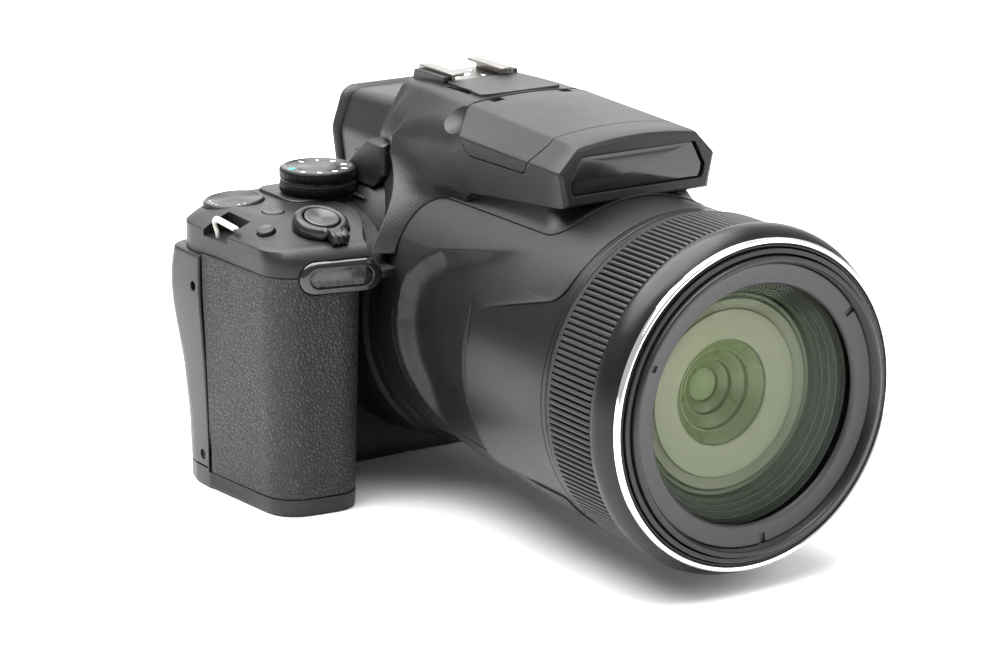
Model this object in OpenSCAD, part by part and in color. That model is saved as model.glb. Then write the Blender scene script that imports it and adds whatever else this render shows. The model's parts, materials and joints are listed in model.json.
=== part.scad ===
// Bridge camera with a long zoom lens, a pop-up flash and a swinging monitor.
// The lens points along -Y, the hand grip is at -X and the base stands on Z = 0.
// The origin is the mouth of the tripod socket. Depths are counted back from the lens nose.

/* [Overall] */
// Height of the lens axis above the base
lens_height = 51.3; // [51:0.1:53]
// Distance from the lens nose back to the tripod axis
nose_reach = 163; // [161:0.5:170]
// Gap left at every seam between fixed covers
seam = 0.12; // [0.1:0.01:0.16]
// Gap left around every moving piece
play = 0.3; // [0.25:0.05:0.35]
// Wall thickness of the covers
wall = 2; // [1.8:0.1:2.2]

/* [Body] */
// Reach of the grip end from the lens axis
body_right = 80.5; // [80:0.1:83]
// Reach of the far end from the lens axis
body_left = 65.8; // [65.4:0.1:69]
// Front face ahead of the tripod axis
body_front = 11; // [10.8:0.1:11.4]
// Rear face behind the tripod axis
body_back = 11; // [10.8:0.1:11.3]
// Height of the seam under the top cover
top_seam = 68; // [67.6:0.1:68.4]
// Thickness of the bottom cover
bottom_thick = 2.5; // [2.2:0.1:2.8]
// Draw-in of the grip end towards the base
side_taper = 1.5; // [1:0.1:2]
// Rise of the thumb rest behind the rear face
thumb_rise = 2.5; // [1.5:0.1:3]

/* [Grip] */
// Thickness of the grip rubber
rubber_thick = 1.5; // [1.2:0.1:1.8]
// Lower edge of the grip rubber
rubber_low = 5; // [4:0.1:7]
// Depth of the front of the grip at its foot
grip_depth = 118.8; // [117:0.1:119.4]
// Swing of the grip's inner edge forward at the top
grip_twist = 4; // [3:0.1:5]
// Width of the battery
battery_w = 13.4; // [12.6:0.1:13.6]
// Height of the battery
battery_h = 50; // [45:0.5:54]

/* [Top] */
// Height of the deck that carries the dials
deck_height = 82.5; // [82:0.1:82.8]
// Height of the far shoulder
shoulder_height = 77; // [76:0.1:78]
// Radius of the mode dial
mode_dial_r = 11.15; // [10.4:0.05:11.3]
// Radius of the command dial
command_dial_r = 8.75; // [8.2:0.05:9]
// Radius of the zoom lever ring
zoom_lever_r = 8; // [7.6:0.1:8.3]
// Radius of the shutter button
shutter_r = 5; // [4.6:0.1:5.2]
// Forward tilt of the shutter button
shutter_tilt = 17; // [14:0.5:19]

/* [Hump] */
// Depth of the front of the hump
hump_front = 56.2; // [55:0.1:57]
// Depth of the rear of the hump
hump_back = 151; // [150.6:0.1:151.4]
// Height of the seat under the accessory shoe
shoe_seat = 115.1; // [115:0.1:115.6]
// Slot width of the accessory shoe
shoe_slot = 18.6; // [18.5:0.05:18.8]
// Opening between the shoe's lips
shoe_mouth = 12.5; // [12.3:0.1:12.8]

/* [Lens] */
// Radius of the fixed barrel
barrel_r = 45.2; // [45.1:0.05:45.5]
// Radius over the ribs of the control ring
ring_r = 46.3; // [46:0.05:46.6]
// Number of ribs round the control ring
ring_ribs = 169; // [120:1:180]
// Widest radius of the front bezel
bezel_r = 47.5; // [47.2:0.1:48]
// Radius of the nose of the inner zoom barrel
nose_r = 40.5; // [40.3:0.05:40.6]
// Radius of the filter thread
filter_r = 38.5; // [38.3:0.05:38.7]
// Travel of each zoom barrel
zoom_travel = 55; // [50:1:57]
// Depth of the finger relief in the barrel
relief_depth = 4; // [2:0.1:4.2]

/* [Monitor] */
// Width of the monitor frame
monitor_w = 79.5; // [76:0.5:80]
// Height of the monitor frame
monitor_h = 57; // [54:0.5:58]

/* [Hidden] */
$fn = 64;

// Colours of the finishes
shell_black = [0.11, 0.11, 0.12];
rubber_black = [0.07, 0.07, 0.07];
gloss_black = [0.03, 0.03, 0.03];
steel = [0.72, 0.71, 0.68];
glass_green = [0.45, 0.5, 0.42];

// A huge size for half-space cuts
far = 200;
// Cover split between front and rear
split_y = -1;
// Lower height of the cavity behind the front cover
cavity_low = 5;

function deep(depth) = depth - nose_reach;
function clamp01(t) = min(max(t, 0), 1);
function smooth(a, b, t) = let (u = clamp01((t - a) / (b - a))) u * u * (3 - 2 * u);
// Draw-in of a rounded edge of radius r at distance h from the flat
function edge_inset(r, h) = h >= r ? 0 : r - sqrt(max(0, r * r - (r - h) * (r - h)));

// Arc of radius r that rounds the corner b between a and c, with n steps
function corner_arc(a, b, c, r, n) =
    let (
        u = (a - b) / norm(a - b),
        v = (c - b) / norm(c - b),
        half = acos(u * v) / 2,
        p = b + u * r / tan(half),
        q = b + v * r / tan(half),
        m = b + (u + v) / norm(u + v) * r / sin(half),
        start = atan2(p.y - m.y, p.x - m.x),
        turn = atan2(q.y - m.y, q.x - m.x) - start,
        sweep = turn > 180 ? turn - 360 : turn < -180 ? turn + 360 : turn
    )
    [for (i = [0:n]) m + r * [cos(start + sweep * i / n), sin(start + sweep * i / n)]];

// Closed outline through corners given as [x, y, radius]
function rounded(corners, n = 4) =
    let (k = len(corners), xy = [for (c = corners) [c.x, c.y]])
    [for (i = [0:k - 1]) each
        corner_arc(xy[(i + k - 1) % k], xy[i], xy[(i + 1) % k], corners[i].z, n)];

function middle(ring) = [for (i = [0:2]) sum([for (p = ring) p[i]]) / len(ring)];
function sum(list, i = 0) = i < len(list) ? list[i] + sum(list, i + 1) : 0;

// Solid skin over a stack of rings, each turning left about the stacking direction
module loft(rings) {
    n = len(rings[0]);
    m = len(rings);
    walls = [for (i = [0:m - 2]) for (j = [0:n - 1]) let (k = (j + 1) % n, a = i * n, b = a + n)
        each [[a + j, b + j, b + k], [a + j, b + k, a + k]]];
    caps = [for (j = [0:n - 1]) let (k = (j + 1) % n, top = (m - 1) * n)
        each [[m * n, j, k], [m * n + 1, top + k, top + j]]];
    points = concat([for (r = rings) each r], [middle(rings[0]), middle(rings[m - 1])]);
    polyhedron(points, concat(walls, caps));
}

// Outline in plan raised to a height, and outline in elevation set at a depth
function plan(outline, z) = [for (p = outline) [p.x, p.y, z]];
function elevation(outline, depth) = [for (p = outline) [p.x, deep(depth), p.y]];

module box(low, high) {
    translate(low)
        cube(high - low);
}

module along_axis(depth) {
    translate([0, deep(depth), lens_height])
        rotate([-90, 0, 0])
            children();
}

module tube(outer_r, inner_r, length) {
    difference() {
        cylinder(r = outer_r, h = length);
        translate([0, 0, -1])
            cylinder(r = inner_r, h = length + 2);
    }
}

// Prism across the camera with its outline in depth and height
module side_profile(points, half) {
    rotate([90, 0, 90])
        translate([0, 0, -half])
            linear_extrude(2 * half)
                polygon([for (p = points) [deep(p.x), p.y]]);
}

// Wheel outline with pointed ribs
module ribbed(outer_r, groove, count, height) {
    linear_extrude(height)
        polygon([for (i = [0:2 * count - 1])
            let (r = outer_r - (i % 2) * groove, t = 180 * i / count) r * [cos(t), sin(t)]]);
}

// Slab with round ends, lying along X and facing -Y
module stadium(length, height, front, back) {
    offset_x = (length - height) / 2;
    for (side = [-1, 1])
        translate([side * offset_x, front, 0])
            rotate([-90, 0, 0])
                cylinder(d = height, h = back - front);
    box([-offset_x, front, -height / 2], [offset_x, back, height / 2]);
}

// Body outline

taper_top = 58;
base_edge = 1.2;
thumb_start = -56;
thumb_low = 40;
thumb_high = 72;
corner_front = 8;
corner_rear = 5;
corner_thumb = 12;

function side_reach(z) = body_right - side_taper * (1 - pow(min(z / taper_top, 1), 2));
function thumb_bulge(z) =
    0.05 + thumb_rise * pow(sin(180 * clamp01((z - thumb_low) / (thumb_high - thumb_low))), 2);

function body_outline(z, grow) =
    let (
        g = grow - edge_inset(base_edge, z),
        right = -side_reach(z) - g,
        left = body_left + g,
        front = -body_front - g,
        back = body_back + g
    )
    rounded([
        [right, front, 3], [left, front, corner_front], [left, back, corner_rear],
        [thumb_start, back, 12], [right, back + thumb_bulge(z), corner_thumb]
    ]);

body_levels = [0, 0.4, base_edge, 20, 38, 45, 50, 56, 62, 68.6];

module body_form(grow = 0) {
    loft([for (z = body_levels) plan(body_outline(z, grow), z)]);
}

// Grip outline: outer front corner, inner front corner and the hollow behind it

grip_rear = -8;
grip_inner = -53.5;
grip_hollow_y = deep(grip_depth) + 18.2;

function grip_outline(z, inset, rear) =
    let (
        g = inset + edge_inset(base_edge, z),
        rise = z / top_seam,
        side = side_reach(z),
        front = deep(grip_depth)
    )
    rounded([
        [-side + g, rear, 0.8],
        [-side + 3.5 + g, front - 0.5 * rise + g, 10],
        [-45.5 - 1.4 * g, front - 3.3 - grip_twist * rise + g, 8],
        [grip_inner - g, grip_hollow_y, 14],
        [grip_inner - g, rear, 0.8]
    ], 5);

module grip_form(inset, low, high, rear) {
    levels = [for (i = [0:6]) low + (high - low) * i / 6];
    loft([for (z = levels) plan(grip_outline(z, inset, rear), z)]);
}

module grip_foot() {
    levels = [0, 0.4, base_edge, rubber_low];
    loft([for (z = levels) plan(grip_outline(z, 0, grip_rear + 4), z)]);
}

// AF lamp on the top front of the grip

lamp_place = [-58.8, deep(grip_depth - 5), deck_height - 13.1];
lamp_turn = -13;
lamp_w = 24;
lamp_h = 9.5;
lamp_back = 6;

module at_lamp() {
    translate(lamp_place)
        rotate([0, 0, lamp_turn])
            children();
}

module lamp_space() {
    at_lamp()
        stadium(lamp_w + 2 * seam, lamp_h + 2 * seam, -5, lamp_back + seam);
}

module af_lamp_bezel() {
    color(gloss_black)
        difference() {
            at_lamp()
                stadium(lamp_w, lamp_h, -0.9, lamp_back);
            at_lamp()
                stadium(lamp_w - 6, lamp_h - 4, -2, lamp_back - wall);
        }
}

module af_lamp_window() {
    color([0.75, 0.78, 0.8])
        at_lamp()
            stadium(lamp_w - 6 - 2 * seam, lamp_h - 4 - 2 * seam, -0.5, lamp_back - wall - seam);
}

// Battery bay under the grip

battery_low = 3;
battery_x = -70.9;
battery_y = deep(grip_depth) + 6.7;
battery_rear = grip_rear - 0.5;
battery_d = battery_rear - battery_y;
door_low = 0.3;
door_high = 2.3;
door_x = -71.6;
door_front = battery_y - 2;
door_rear = battery_rear + 2;
door_axis_x = -56.6;
door_axis_z = 1.3;
door_barrel_r = 1;
peg_r = 0.6;
peg_length = 1.2;

module battery() {
    color([0.2, 0.22, 0.25])
        box([battery_x, battery_y, battery_low],
            [battery_x + battery_w, battery_y + battery_d, battery_low + battery_h]);
}

module battery_space() {
    box([battery_x - play, battery_y - play, -1],
        [battery_x + battery_w + play, battery_y + battery_d + play, battery_low + battery_h + play]);
    box([door_x - play, door_front - play, -1],
        [door_axis_x + door_barrel_r + play, door_rear + play, door_high + play]);
    translate([door_axis_x, door_front - peg_length - play, door_axis_z])
        rotate([-90, 0, 0])
            cylinder(r = peg_r + 0.05, h = door_rear - door_front + 2 * (peg_length + play));
}

latch_x = -70.2;
latch_l = 3.2;
latch_w = 6;
latch_y = (battery_y + battery_rear) / 2;
latch_travel = 2;
latch_top = 1.3;

module battery_door() {
    color(shell_black)
        difference() {
            union() {
                box([door_x, door_front, door_low], [door_axis_x, door_rear, door_high]);
                translate([door_axis_x, door_front, door_axis_z])
                    rotate([-90, 0, 0])
                        cylinder(r = door_barrel_r, h = door_rear - door_front);
                translate([door_axis_x, door_front - peg_length, door_axis_z])
                    rotate([-90, 0, 0])
                        cylinder(r = peg_r, h = door_rear - door_front + 2 * peg_length);
            }
            box([latch_x - play, latch_y - latch_w / 2 - play, -1],
                [latch_x + latch_l + latch_travel + play, latch_y + latch_w / 2 + play,
                 latch_top + play / 2]);
        }
}

module battery_door_latch() {
    color(gloss_black)
        box([latch_x, latch_y - latch_w / 2, door_low],
            [latch_x + latch_l, latch_y + latch_w / 2, latch_top]);
}

// Fixed covers of the body

tripod_r = 3.175;
tripod_insert_r = 6;
tripod_depth = 6;
tripod_insert_h = 7.5;
bottom_right = -50;

module cavity() {
    box([-46, -body_front + wall, cavity_low], [body_left - wall - 6, 1, top_seam - wall]);
}

module tripod_space() {
    translate([0, 0, -1])
        cylinder(r = tripod_insert_r + seam, h = tripod_insert_h + 1 + seam);
}

panel_front = -7.5;
panel_rear = 4;
panel_low = 6;
panel_high = 66;
panel_thick = 1.6;

module panel_region(gap) {
    box([-far, panel_front - gap, panel_low - gap], [-70, panel_rear + gap, panel_high + gap]);
}

module right_side_panel() {
    color(shell_black)
        difference() {
            intersection() {
                body_form();
                panel_region(0);
            }
            body_form(-panel_thick);
        }
}

module panel_space() {
    difference() {
        intersection() {
            body_form(1);
            panel_region(seam);
        }
        body_form(-panel_thick - seam);
    }
}

// Space under the covers for the bottom cover
module bottom_space(gap) {
    box([bottom_right - gap, -far, -1], [far, far, bottom_thick + gap]);
}

module bottom_cover() {
    color(shell_black)
        difference() {
            intersection() {
                body_form();
                bottom_space(0);
            }
            tripod_space();
        }
}

module tripod_socket() {
    color(steel)
        difference() {
            cylinder(r = tripod_insert_r, h = tripod_insert_h);
            translate([0, 0, -1])
                cylinder(r = tripod_r, h = tripod_depth + 1);
        }
}

// Round collar of the front cover that carries the lens housing
collar_depth = 121.3;
tube_bore = 38.1;
tube_stop = 160.3;
collar_r = 45;
collar_root = 0.5;

module lens_collar() {
    root = -deep(0) - body_front + collar_root;
    along_axis(0)
        rotate_extrude()
            polygon([
                [tube_bore - 1, collar_depth], [41.2, collar_depth], [42, collar_depth + 1.7],
                [42, collar_depth + 6], [43.2, collar_depth + 7.5], [43.2, collar_depth + 13],
                [collar_r, root - 6], [collar_r, root], [tube_bore - 1, root]
            ]);
}

module front_cover() {
    color(shell_black)
        difference() {
            union() {
                difference() {
                    intersection() {
                        body_form();
                        box([-far, -far, -1], [far, split_y, top_seam - seam]);
                    }
                    bottom_space(seam);
                    box([-far, -far, rubber_low], [grip_inner + seam, grip_rear, far]);
                }
                grip_form(rubber_thick + seam, rubber_low - 1, top_seam - seam, grip_rear + 4);
                grip_foot();
                lens_collar();
            }
            cavity();
            along_axis(collar_depth - 1)
                cylinder(r = tube_bore, h = tube_stop - collar_depth + 1);
            battery_space();
            panel_space();
            tripod_space();
            lamp_space();
            terminal_space();
            mode_space();
        }
}

module grip_rubber() {
    color(rubber_black)
        difference() {
            grip_form(0, rubber_low + seam, top_seam - seam, grip_rear - seam);
            grip_form(rubber_thick, rubber_low - 1, top_seam + 1, grip_rear + 4);
            lamp_space();
        }
}

module rear_cover() {
    color(shell_black)
        difference() {
            intersection() {
                body_form();
                box([-far, split_y + seam, -1], [far, far, top_seam - seam]);
            }
            bottom_space(seam);
            cavity();
            panel_space();
            tripod_space();
            monitor_space();
            rear_button_spaces();
            terminal_space();
        }
}

thumb_pad = 1;

module thumb_rest() {
    color(rubber_black)
        difference() {
            intersection() {
                body_form(thumb_pad);
                box([-79, panel_rear + 1.5, 46], [-59, far, 66]);
            }
            body_form(seam);
        }
}

// Monitor on a vertical hinge at the far end of the back

monitor_axis_x = 62;
monitor_axis_y = 11.8;
monitor_low = 8.5;
monitor_front = 3.8;
monitor_back = 12.6;
monitor_edge = 2.5;
hinge_r = 2.2;
hinge_pin_r = 1.2;
hinge_ear = 3.5;
monitor_right = monitor_axis_x - monitor_edge - monitor_w;
monitor_high = monitor_low + monitor_h;

module monitor_space() {
    box([monitor_right - 2 * play, monitor_front - play, monitor_low - play],
        [monitor_axis_x - monitor_edge + play, far, monitor_high + play]);
    box([monitor_axis_x - monitor_edge - 1, monitor_axis_y - hinge_r - play, monitor_low - play],
        [far, far, monitor_high + play]);
}

module monitor_frame() {
    color(shell_black)
        difference() {
            union() {
                box([monitor_right, monitor_front, monitor_low],
                    [monitor_axis_x - monitor_edge, monitor_back, monitor_high]);
                translate([monitor_axis_x, monitor_axis_y, monitor_low + hinge_ear + play])
                    cylinder(r = hinge_r, h = monitor_h - 2 * (hinge_ear + play));
                box([monitor_axis_x - monitor_edge - 1, monitor_axis_y - hinge_r,
                     monitor_low + hinge_ear + play],
                    [monitor_axis_x, monitor_axis_y, monitor_high - hinge_ear - play]);
            }
            translate([monitor_axis_x, monitor_axis_y, 0])
                cylinder(r = hinge_pin_r + 0.05, h = far);
            box([monitor_right + 4, monitor_back - 1, monitor_low + 4],
                [monitor_axis_x - monitor_edge - 4, far, monitor_high - 4]);
        }
}

module monitor_screen() {
    color(gloss_black)
        box([monitor_right + 4 + seam, monitor_back - 1, monitor_low + 4 + seam],
            [monitor_axis_x - monitor_edge - 4 - seam, monitor_back - 0.2, monitor_high - 4 - seam]);
}

module monitor_hinge() {
    color(steel)
        union() {
            translate([monitor_axis_x, monitor_axis_y, monitor_low])
                cylinder(r = hinge_pin_r, h = monitor_h);
            for (z = [monitor_low, monitor_high - hinge_ear]) {
                translate([monitor_axis_x, monitor_axis_y, z])
                    cylinder(r = hinge_r, h = hinge_ear);
                box([monitor_axis_x - 1.2, monitor_axis_y - hinge_r - play, z],
                    [monitor_axis_x + hinge_r, monitor_axis_y, z + hinge_ear]);
            }
        }
}

// Controls on the back

selector_place = [-50, 34];
selector_r = 11.5;
ok_r = 6;
rear_button_r = 3.5;
rear_button_rise = 1;
rear_button_sink = 2.5;
rear_travel = 0.7;
selector_rise = 1.6;
playback_place = [-33, 50];
menu_place = [-36, 14];
delete_place = [-58, 14];
movie_place = [-31, 62];
lock_place = [-45, 60];
small_buttons = [playback_place, menu_place, delete_place, movie_place, lock_place];

module on_back(place, start) {
    translate([place.x, body_back + start, place.y])
        rotate([-90, 0, 0])
            children();
}

module rear_button_spaces() {
    for (place = small_buttons)
        on_back(place, -rear_button_sink - rear_travel - play)
            cylinder(r = rear_button_r + play, h = 20);
    on_back(selector_place, -rear_button_sink - rear_travel - play)
        cylinder(r = selector_r + play, h = 20);
}

module rear_button(place) {
    on_back(place, -rear_button_sink)
        cylinder(r = rear_button_r, h = rear_button_sink + rear_button_rise);
}

module multi_selector() {
    color(shell_black)
        on_back(selector_place, -rear_button_sink - rear_travel)
            difference() {
                ribbed(selector_r, 0.4, 40, rear_button_sink + rear_travel + selector_rise);
                translate([0, 0, -1])
                    cylinder(r = ok_r + play, h = 20);
            }
}

module ok_button() {
    color(shell_black)
        on_back(selector_place, -rear_button_sink)
            cylinder(r = ok_r, h = rear_button_sink + selector_rise - 0.3);
}

module playback_button() {
    color(shell_black)
        rear_button(playback_place);
}

module menu_button() {
    color(shell_black)
        rear_button(menu_place);
}

module delete_button() {
    color(shell_black)
        rear_button(delete_place);
}

module movie_button() {
    color([0.35, 0.08, 0.08])
        rear_button(movie_place);
}

module lock_button() {
    color(shell_black)
        rear_button(lock_place);
}

// Terminals behind a door in the far side

terminal_low = 14;
terminal_high = 58;
terminal_axis_y = -6;
terminal_end_y = 5;
terminal_door_r = 0.8;
terminal_in = body_left - 5.4;
terminal_axis_x = body_left - 1.2;

module terminal_space() {
    box([terminal_in, terminal_axis_y - terminal_door_r - play, terminal_low - play],
        [far, terminal_end_y + play, terminal_high + play]);
    translate([terminal_axis_x, terminal_axis_y, terminal_low - peg_length - play])
        cylinder(r = peg_r + 0.05, h = terminal_high - terminal_low + 2 * (peg_length + play));
}

module terminal_cover() {
    color(rubber_black)
        union() {
            box([terminal_axis_x - terminal_door_r, terminal_axis_y, terminal_low],
                [terminal_axis_x + terminal_door_r, terminal_end_y, terminal_high]);
            translate([terminal_axis_x, terminal_axis_y, terminal_low])
                cylinder(r = terminal_door_r, h = terminal_high - terminal_low);
            translate([terminal_axis_x, terminal_axis_y, terminal_low - peg_length])
                cylinder(r = peg_r, h = terminal_high - terminal_low + 2 * peg_length);
        }
}

socket_heights = [19, 31, 43];

module terminal_block() {
    color([0.15, 0.15, 0.16])
        difference() {
            box([terminal_in + seam, terminal_axis_y + seam, terminal_low + seam],
                [terminal_axis_x - terminal_door_r - play - 0.4, terminal_end_y, terminal_high - seam]);
            for (z = socket_heights)
                box([terminal_in + 1.2, -3, z], [far, 2, z + 9]);
        }
}

// Top cover: dial deck, block under the viewfinder and far shoulder

deck_fall = 0.0045;
deck_flat = 148;
deck_run = 32;
deck_roll = 5;
deck_side_flat = 64;
deck_side_fall = 0.02;
deck_inner = -26;
deck_edge = 4;
deck_brow = deck_height - deck_fall * deck_run * deck_run;

// Distance that the deck's front edge draws back at height z
function deck_back(z) = z <= deck_brow
    ? edge_inset(deck_roll, deck_brow - z)
    : deck_roll + (deck_run - deck_roll) * (1 - sqrt(max(0, deck_height - z) / deck_fall) / deck_run);
function deck_side(z) =
    min(body_right, deck_side_flat + sqrt(max(0, deck_height - z) / deck_side_fall));

function deck_outline(z) =
    let (
        side = deck_side(z),
        back = body_back - edge_inset(deck_edge, deck_height - z),
        front = deep(grip_depth),
        draw = deck_back(z)
    )
    rounded([
        [-side, back, corner_thumb],
        [-side + 3.5, front - 0.5 + draw, 10],
        [-45.5, front - 3.3 - grip_twist + draw, 6],
        [deck_inner, front + draw, 1],
        [deck_inner, back, 1]
    ], 5);

deck_levels = [for (t = [0, 0.35, 0.62, 0.68, 0.71, 0.75, 0.8, 0.87, 0.93, 0.97, 0.99, 1])
    top_seam + (deck_height - top_seam) * t];

module dial_deck() {
    loft([for (z = deck_levels) plan(deck_outline(z), z)]);
}

centre_height = 83;
shoulder_inner = 24;
shoulder_edge = 5;
shoulder_start = 160;
shoulder_run = 40;
shoulder_lift = 14;
shoulder_waist = 40;
shoulder_foot = 36;

// Section of the far shoulder at a depth: its side wall draws in and lifts forward along the lens
function shoulder_outline(depth) =
    let (
        t = clamp01((shoulder_start - depth) / shoulder_run),
        ahead = clamp01((-deep(depth) - body_front) / shoulder_run),
        i = edge_inset(shoulder_edge, body_back - deep(depth)),
        side = shoulder_waist + (body_left - shoulder_waist) * pow(1 - t, 2.2) - i,
        low = top_seam + shoulder_lift * ahead,
        top = centre_height - 0.4 * i
    )
    rounded([
        [shoulder_inner, low, 0.3],
        [side, low, 0.3],
        [side, low + 4 - 3 * ahead, 1.5],
        [side - 1 - 5 * (1 - t), shoulder_height + 5 * t - 0.6 * i, 2 - t],
        [shoulder_foot, top, 1],
        [shoulder_inner, top, 0.3]
    ], 3);

shoulder_depths = [120, 124, 128, 132, 136, 140, 144, 148, 152, 154, 157, 160, 169, 171.5, 173, 173.8];

module far_shoulder() {
    last = len(shoulder_depths) - 1;
    loft([for (i = [0:last]) let (depth = shoulder_depths[last - i])
        elevation(shoulder_outline(depth), depth)]);
}

mode_place = [-40, deep(158)];
command_place = [-64, 1.5];
command_tilt = 5;
command_h = 4;
command_base = deck_height - 4.1;
shutter_place = [-57, deep(grip_depth + 9.2)];
// The power button lies between the zoom lever and the command dial
power_place = [-62, (shutter_place.y + zoom_lever_r + command_place.y - command_dial_r) / 2 - 0.4];
power_r = 3.1;
function_place = [-71.5, deep(grip_depth + 14.2)];
function_r = 2.5;
top_travel = 0.6;
button_sink = 1.4;
button_rise = 0.7;

module at_command() {
    translate([command_place.x, command_place.y, command_base])
        rotate([0, -command_tilt, 0])
            children();
}

module at_power() {
    translate([power_place.x, power_place.y, deck_height - 0.05])
        children();
}

module at_function() {
    translate([function_place.x, function_place.y, deck_height - 2.2])
        rotate([9, -16, 0])
            children();
}

module at_shutter() {
    translate([shutter_place.x, shutter_place.y, deck_height - 2])
        rotate([shutter_tilt, 0, 0])
            children();
}

module button_space(radius) {
    translate([0, 0, -button_sink - top_travel - play])
        cylinder(r = radius + play, h = 20);
}

module button_cap(radius) {
    translate([0, 0, -button_sink])
        cylinder(r = radius, h = button_sink + button_rise);
}

module power_button() {
    color(steel)
        at_power()
            button_cap(power_r);
}

module function_button() {
    color(shell_black)
        at_function()
            button_cap(function_r);
}

lever_floor = -0.8;
lever_h = 3;
lever_tab = 4;
shutter_rise = 3.2;
shutter_travel = 1;

module zoom_lever() {
    color(gloss_black)
        at_shutter()
            difference() {
                union() {
                    translate([0, 0, lever_floor + play])
                        cylinder(r = zoom_lever_r, h = lever_h - lever_floor - play);
                    box([-2.6, -zoom_lever_r - lever_tab, 0.9], [2.6, -shutter_r - 1, lever_h + 0.6]);
                }
                translate([0, 0, -5])
                    cylinder(r = shutter_r + play, h = 20);
            }
}

module shutter_button() {
    color([0.25, 0.25, 0.26])
        at_shutter()
            translate([0, 0, lever_floor + play])
                cylinder(r = shutter_r, h = shutter_rise - lever_floor - play);
}

module mode_space() {
    translate([mode_place.x, mode_place.y, deck_height])
        cylinder(r = mode_dial_r + play, h = 20);
}

module mode_dial() {
    color(gloss_black)
        translate([mode_place.x, mode_place.y, deck_height + play])
            union() {
                ribbed(mode_dial_r, 0.4, 60, 2.8);
                cylinder(r = mode_dial_r - 0.7, h = 3.4);
                translate([0, 0, 3.4])
                    ribbed(mode_dial_r, 0.4, 60, 2.4);
                translate([0, 0, 5.8])
                    cylinder(r1 = mode_dial_r - 0.6, r2 = mode_dial_r - 1.3, h = 0.6);
            }
}

module command_dial() {
    color(gloss_black)
        at_command()
            ribbed(command_dial_r, 0.35, 48, command_h);
}

// Strap lugs set in recesses at both ends of the top cover

lug_r = 1.2;
lug_right = [-77, deep(139.5), deck_height - 2.5];
lug_left = [62.4, -6, shoulder_height - 1.8];
lug_span = 15;
lug_pocket = 6.2;
lug_plate = 0.8;

module lug_space(place, outward) {
    translate(place)
        box([outward > 0 ? -lug_pocket : -far, 0, -lug_pocket],
            [outward > 0 ? far : lug_pocket, lug_span, far]);
}

// Bar between two end plates that line the recess
module strap_lug(place) {
    translate(place + [0, seam, 0])
        rotate([-90, 0, 0])
            cylinder(r = lug_r, h = lug_span - 2 * seam);
    for (y = [seam, lug_span - seam - lug_plate])
        translate(place + [-lug_r, y, -lug_pocket + seam])
            cube([2 * lug_r, lug_plate, lug_pocket]);
}

module strap_lugs() {
    color(steel) {
        strap_lug(lug_right);
        strap_lug(lug_left);
    }
}

centre_half = 27;
lens_cut_start = 90;

module top_cover() {
    color(shell_black)
        difference() {
            union() {
                dial_deck();
                far_shoulder();
                box([-centre_half, -body_front, top_seam], [centre_half, body_back - 0.5, centre_height]);
            }
            along_axis(lens_cut_start)
                cylinder(r = barrel_r + 0.5, h = -deep(lens_cut_start) - body_front + collar_root + seam);
            lamp_space();
            lug_space(lug_right, -1);
            lug_space(lug_left, 1);
            at_command()
                translate([0, 0, -play])
                    cylinder(r = command_dial_r + play, h = 20);
            at_power()
                button_space(power_r);
            at_function()
                button_space(function_r);
            at_shutter()
                translate([0, 0, lever_floor])
                    cylinder(r = zoom_lever_r + play, h = 20);
            at_shutter()
                translate([0, 0, lever_floor - shutter_travel])
                    cylinder(r = shutter_r + play, h = 20);
        }
}

// Hump over the lens: depth, then half width and height of roof, side crease and foot

hump_low = centre_height + seam;
hump_stations = [
    [hump_front, 19, 111, 24.5, 105, 22.5, 96.6],
    [hump_front + 1.8, 19.5, 112.2, 26, 105.6, 24.2, 95.7],
    [90, 19.3, 113.4, 26.8, 106.6, 26, 93],
    [110, 19, 114.2, 27.5, 107.5, 27.5, 91],
    [116, 18.5, 114.5, 27.8, 107.5, 31, 88],
    [120, 18, 114.7, 28, 106.5, 38, hump_low],
    [128, 17.5, 114.8, 27.5, 105, 36, hump_low],
    [138, 16.5, 114.8, 26.5, 103.5, 32.5, hump_low],
    [hump_back, 14.5, 114, 24, 100, 28.8, hump_low]
];

function hump_outline(s) = rounded([
    [-s[5], s[6], 1], [s[5], s[6], 1], [s[3], s[4], 2.5],
    [s[1], s[2], 1.5], [-s[1], s[2], 1.5], [-s[3], s[4], 2.5]
], 3);

module hump_form() {
    last = len(hump_stations) - 1;
    loft([for (i = [0:last]) let (s = hump_stations[last - i]) elevation(hump_outline(s), s[0])]);
}

neck_half = 19.5;
neck_front = 66;
neck_top = 97;
overhang_r = 47.3;

// Flash lid: front, sloped chin, underside and rear edge in depth and height
lid_front = 68.3;
lid_back = 109.6;
lid_low = 102.8;
lid_axis = [109, 113.2];
lid_pin_r = 0.8;
lid_ear_in = 10;
lid_ear_out = 13;

function lid_points(gap) = [
    [lid_front - gap, 125], [lid_front - gap, 111.2], [lid_front + 4.6 - gap, lid_low - gap],
    [98.5 + gap / 2, lid_low - gap], [103 + gap, 107 - gap / 2],
    [lid_back + 2 * gap, 113], [lid_back + 2 * gap, 125]
];

window_points = [[69.8, 109.4], [72.6, 104.4], [75.4, 104.4], [75.4, 109.4]];
window_half = 14.5;
tube_place = [77.6, 107];
tube_r = 1.5;

module pin_along_x(place, radius, half) {
    translate([-half, deep(place.x), place.y])
        rotate([0, 90, 0])
            cylinder(r = radius, h = 2 * half);
}

module lid_ears(gap) {
    for (side = [-1, 1])
        translate([side * (lid_ear_in + lid_ear_out) / 2, 0, 0])
            side_profile([[107.2 - 2.5 * gap, 111.3 - 3 * gap], [112, 111.3 - 3 * gap],
                          [112, 114 + far * gap], [107.2 - 2.5 * gap, 114 + far * gap]],
                         (lid_ear_out - lid_ear_in) / 2 + gap);
}

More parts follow.
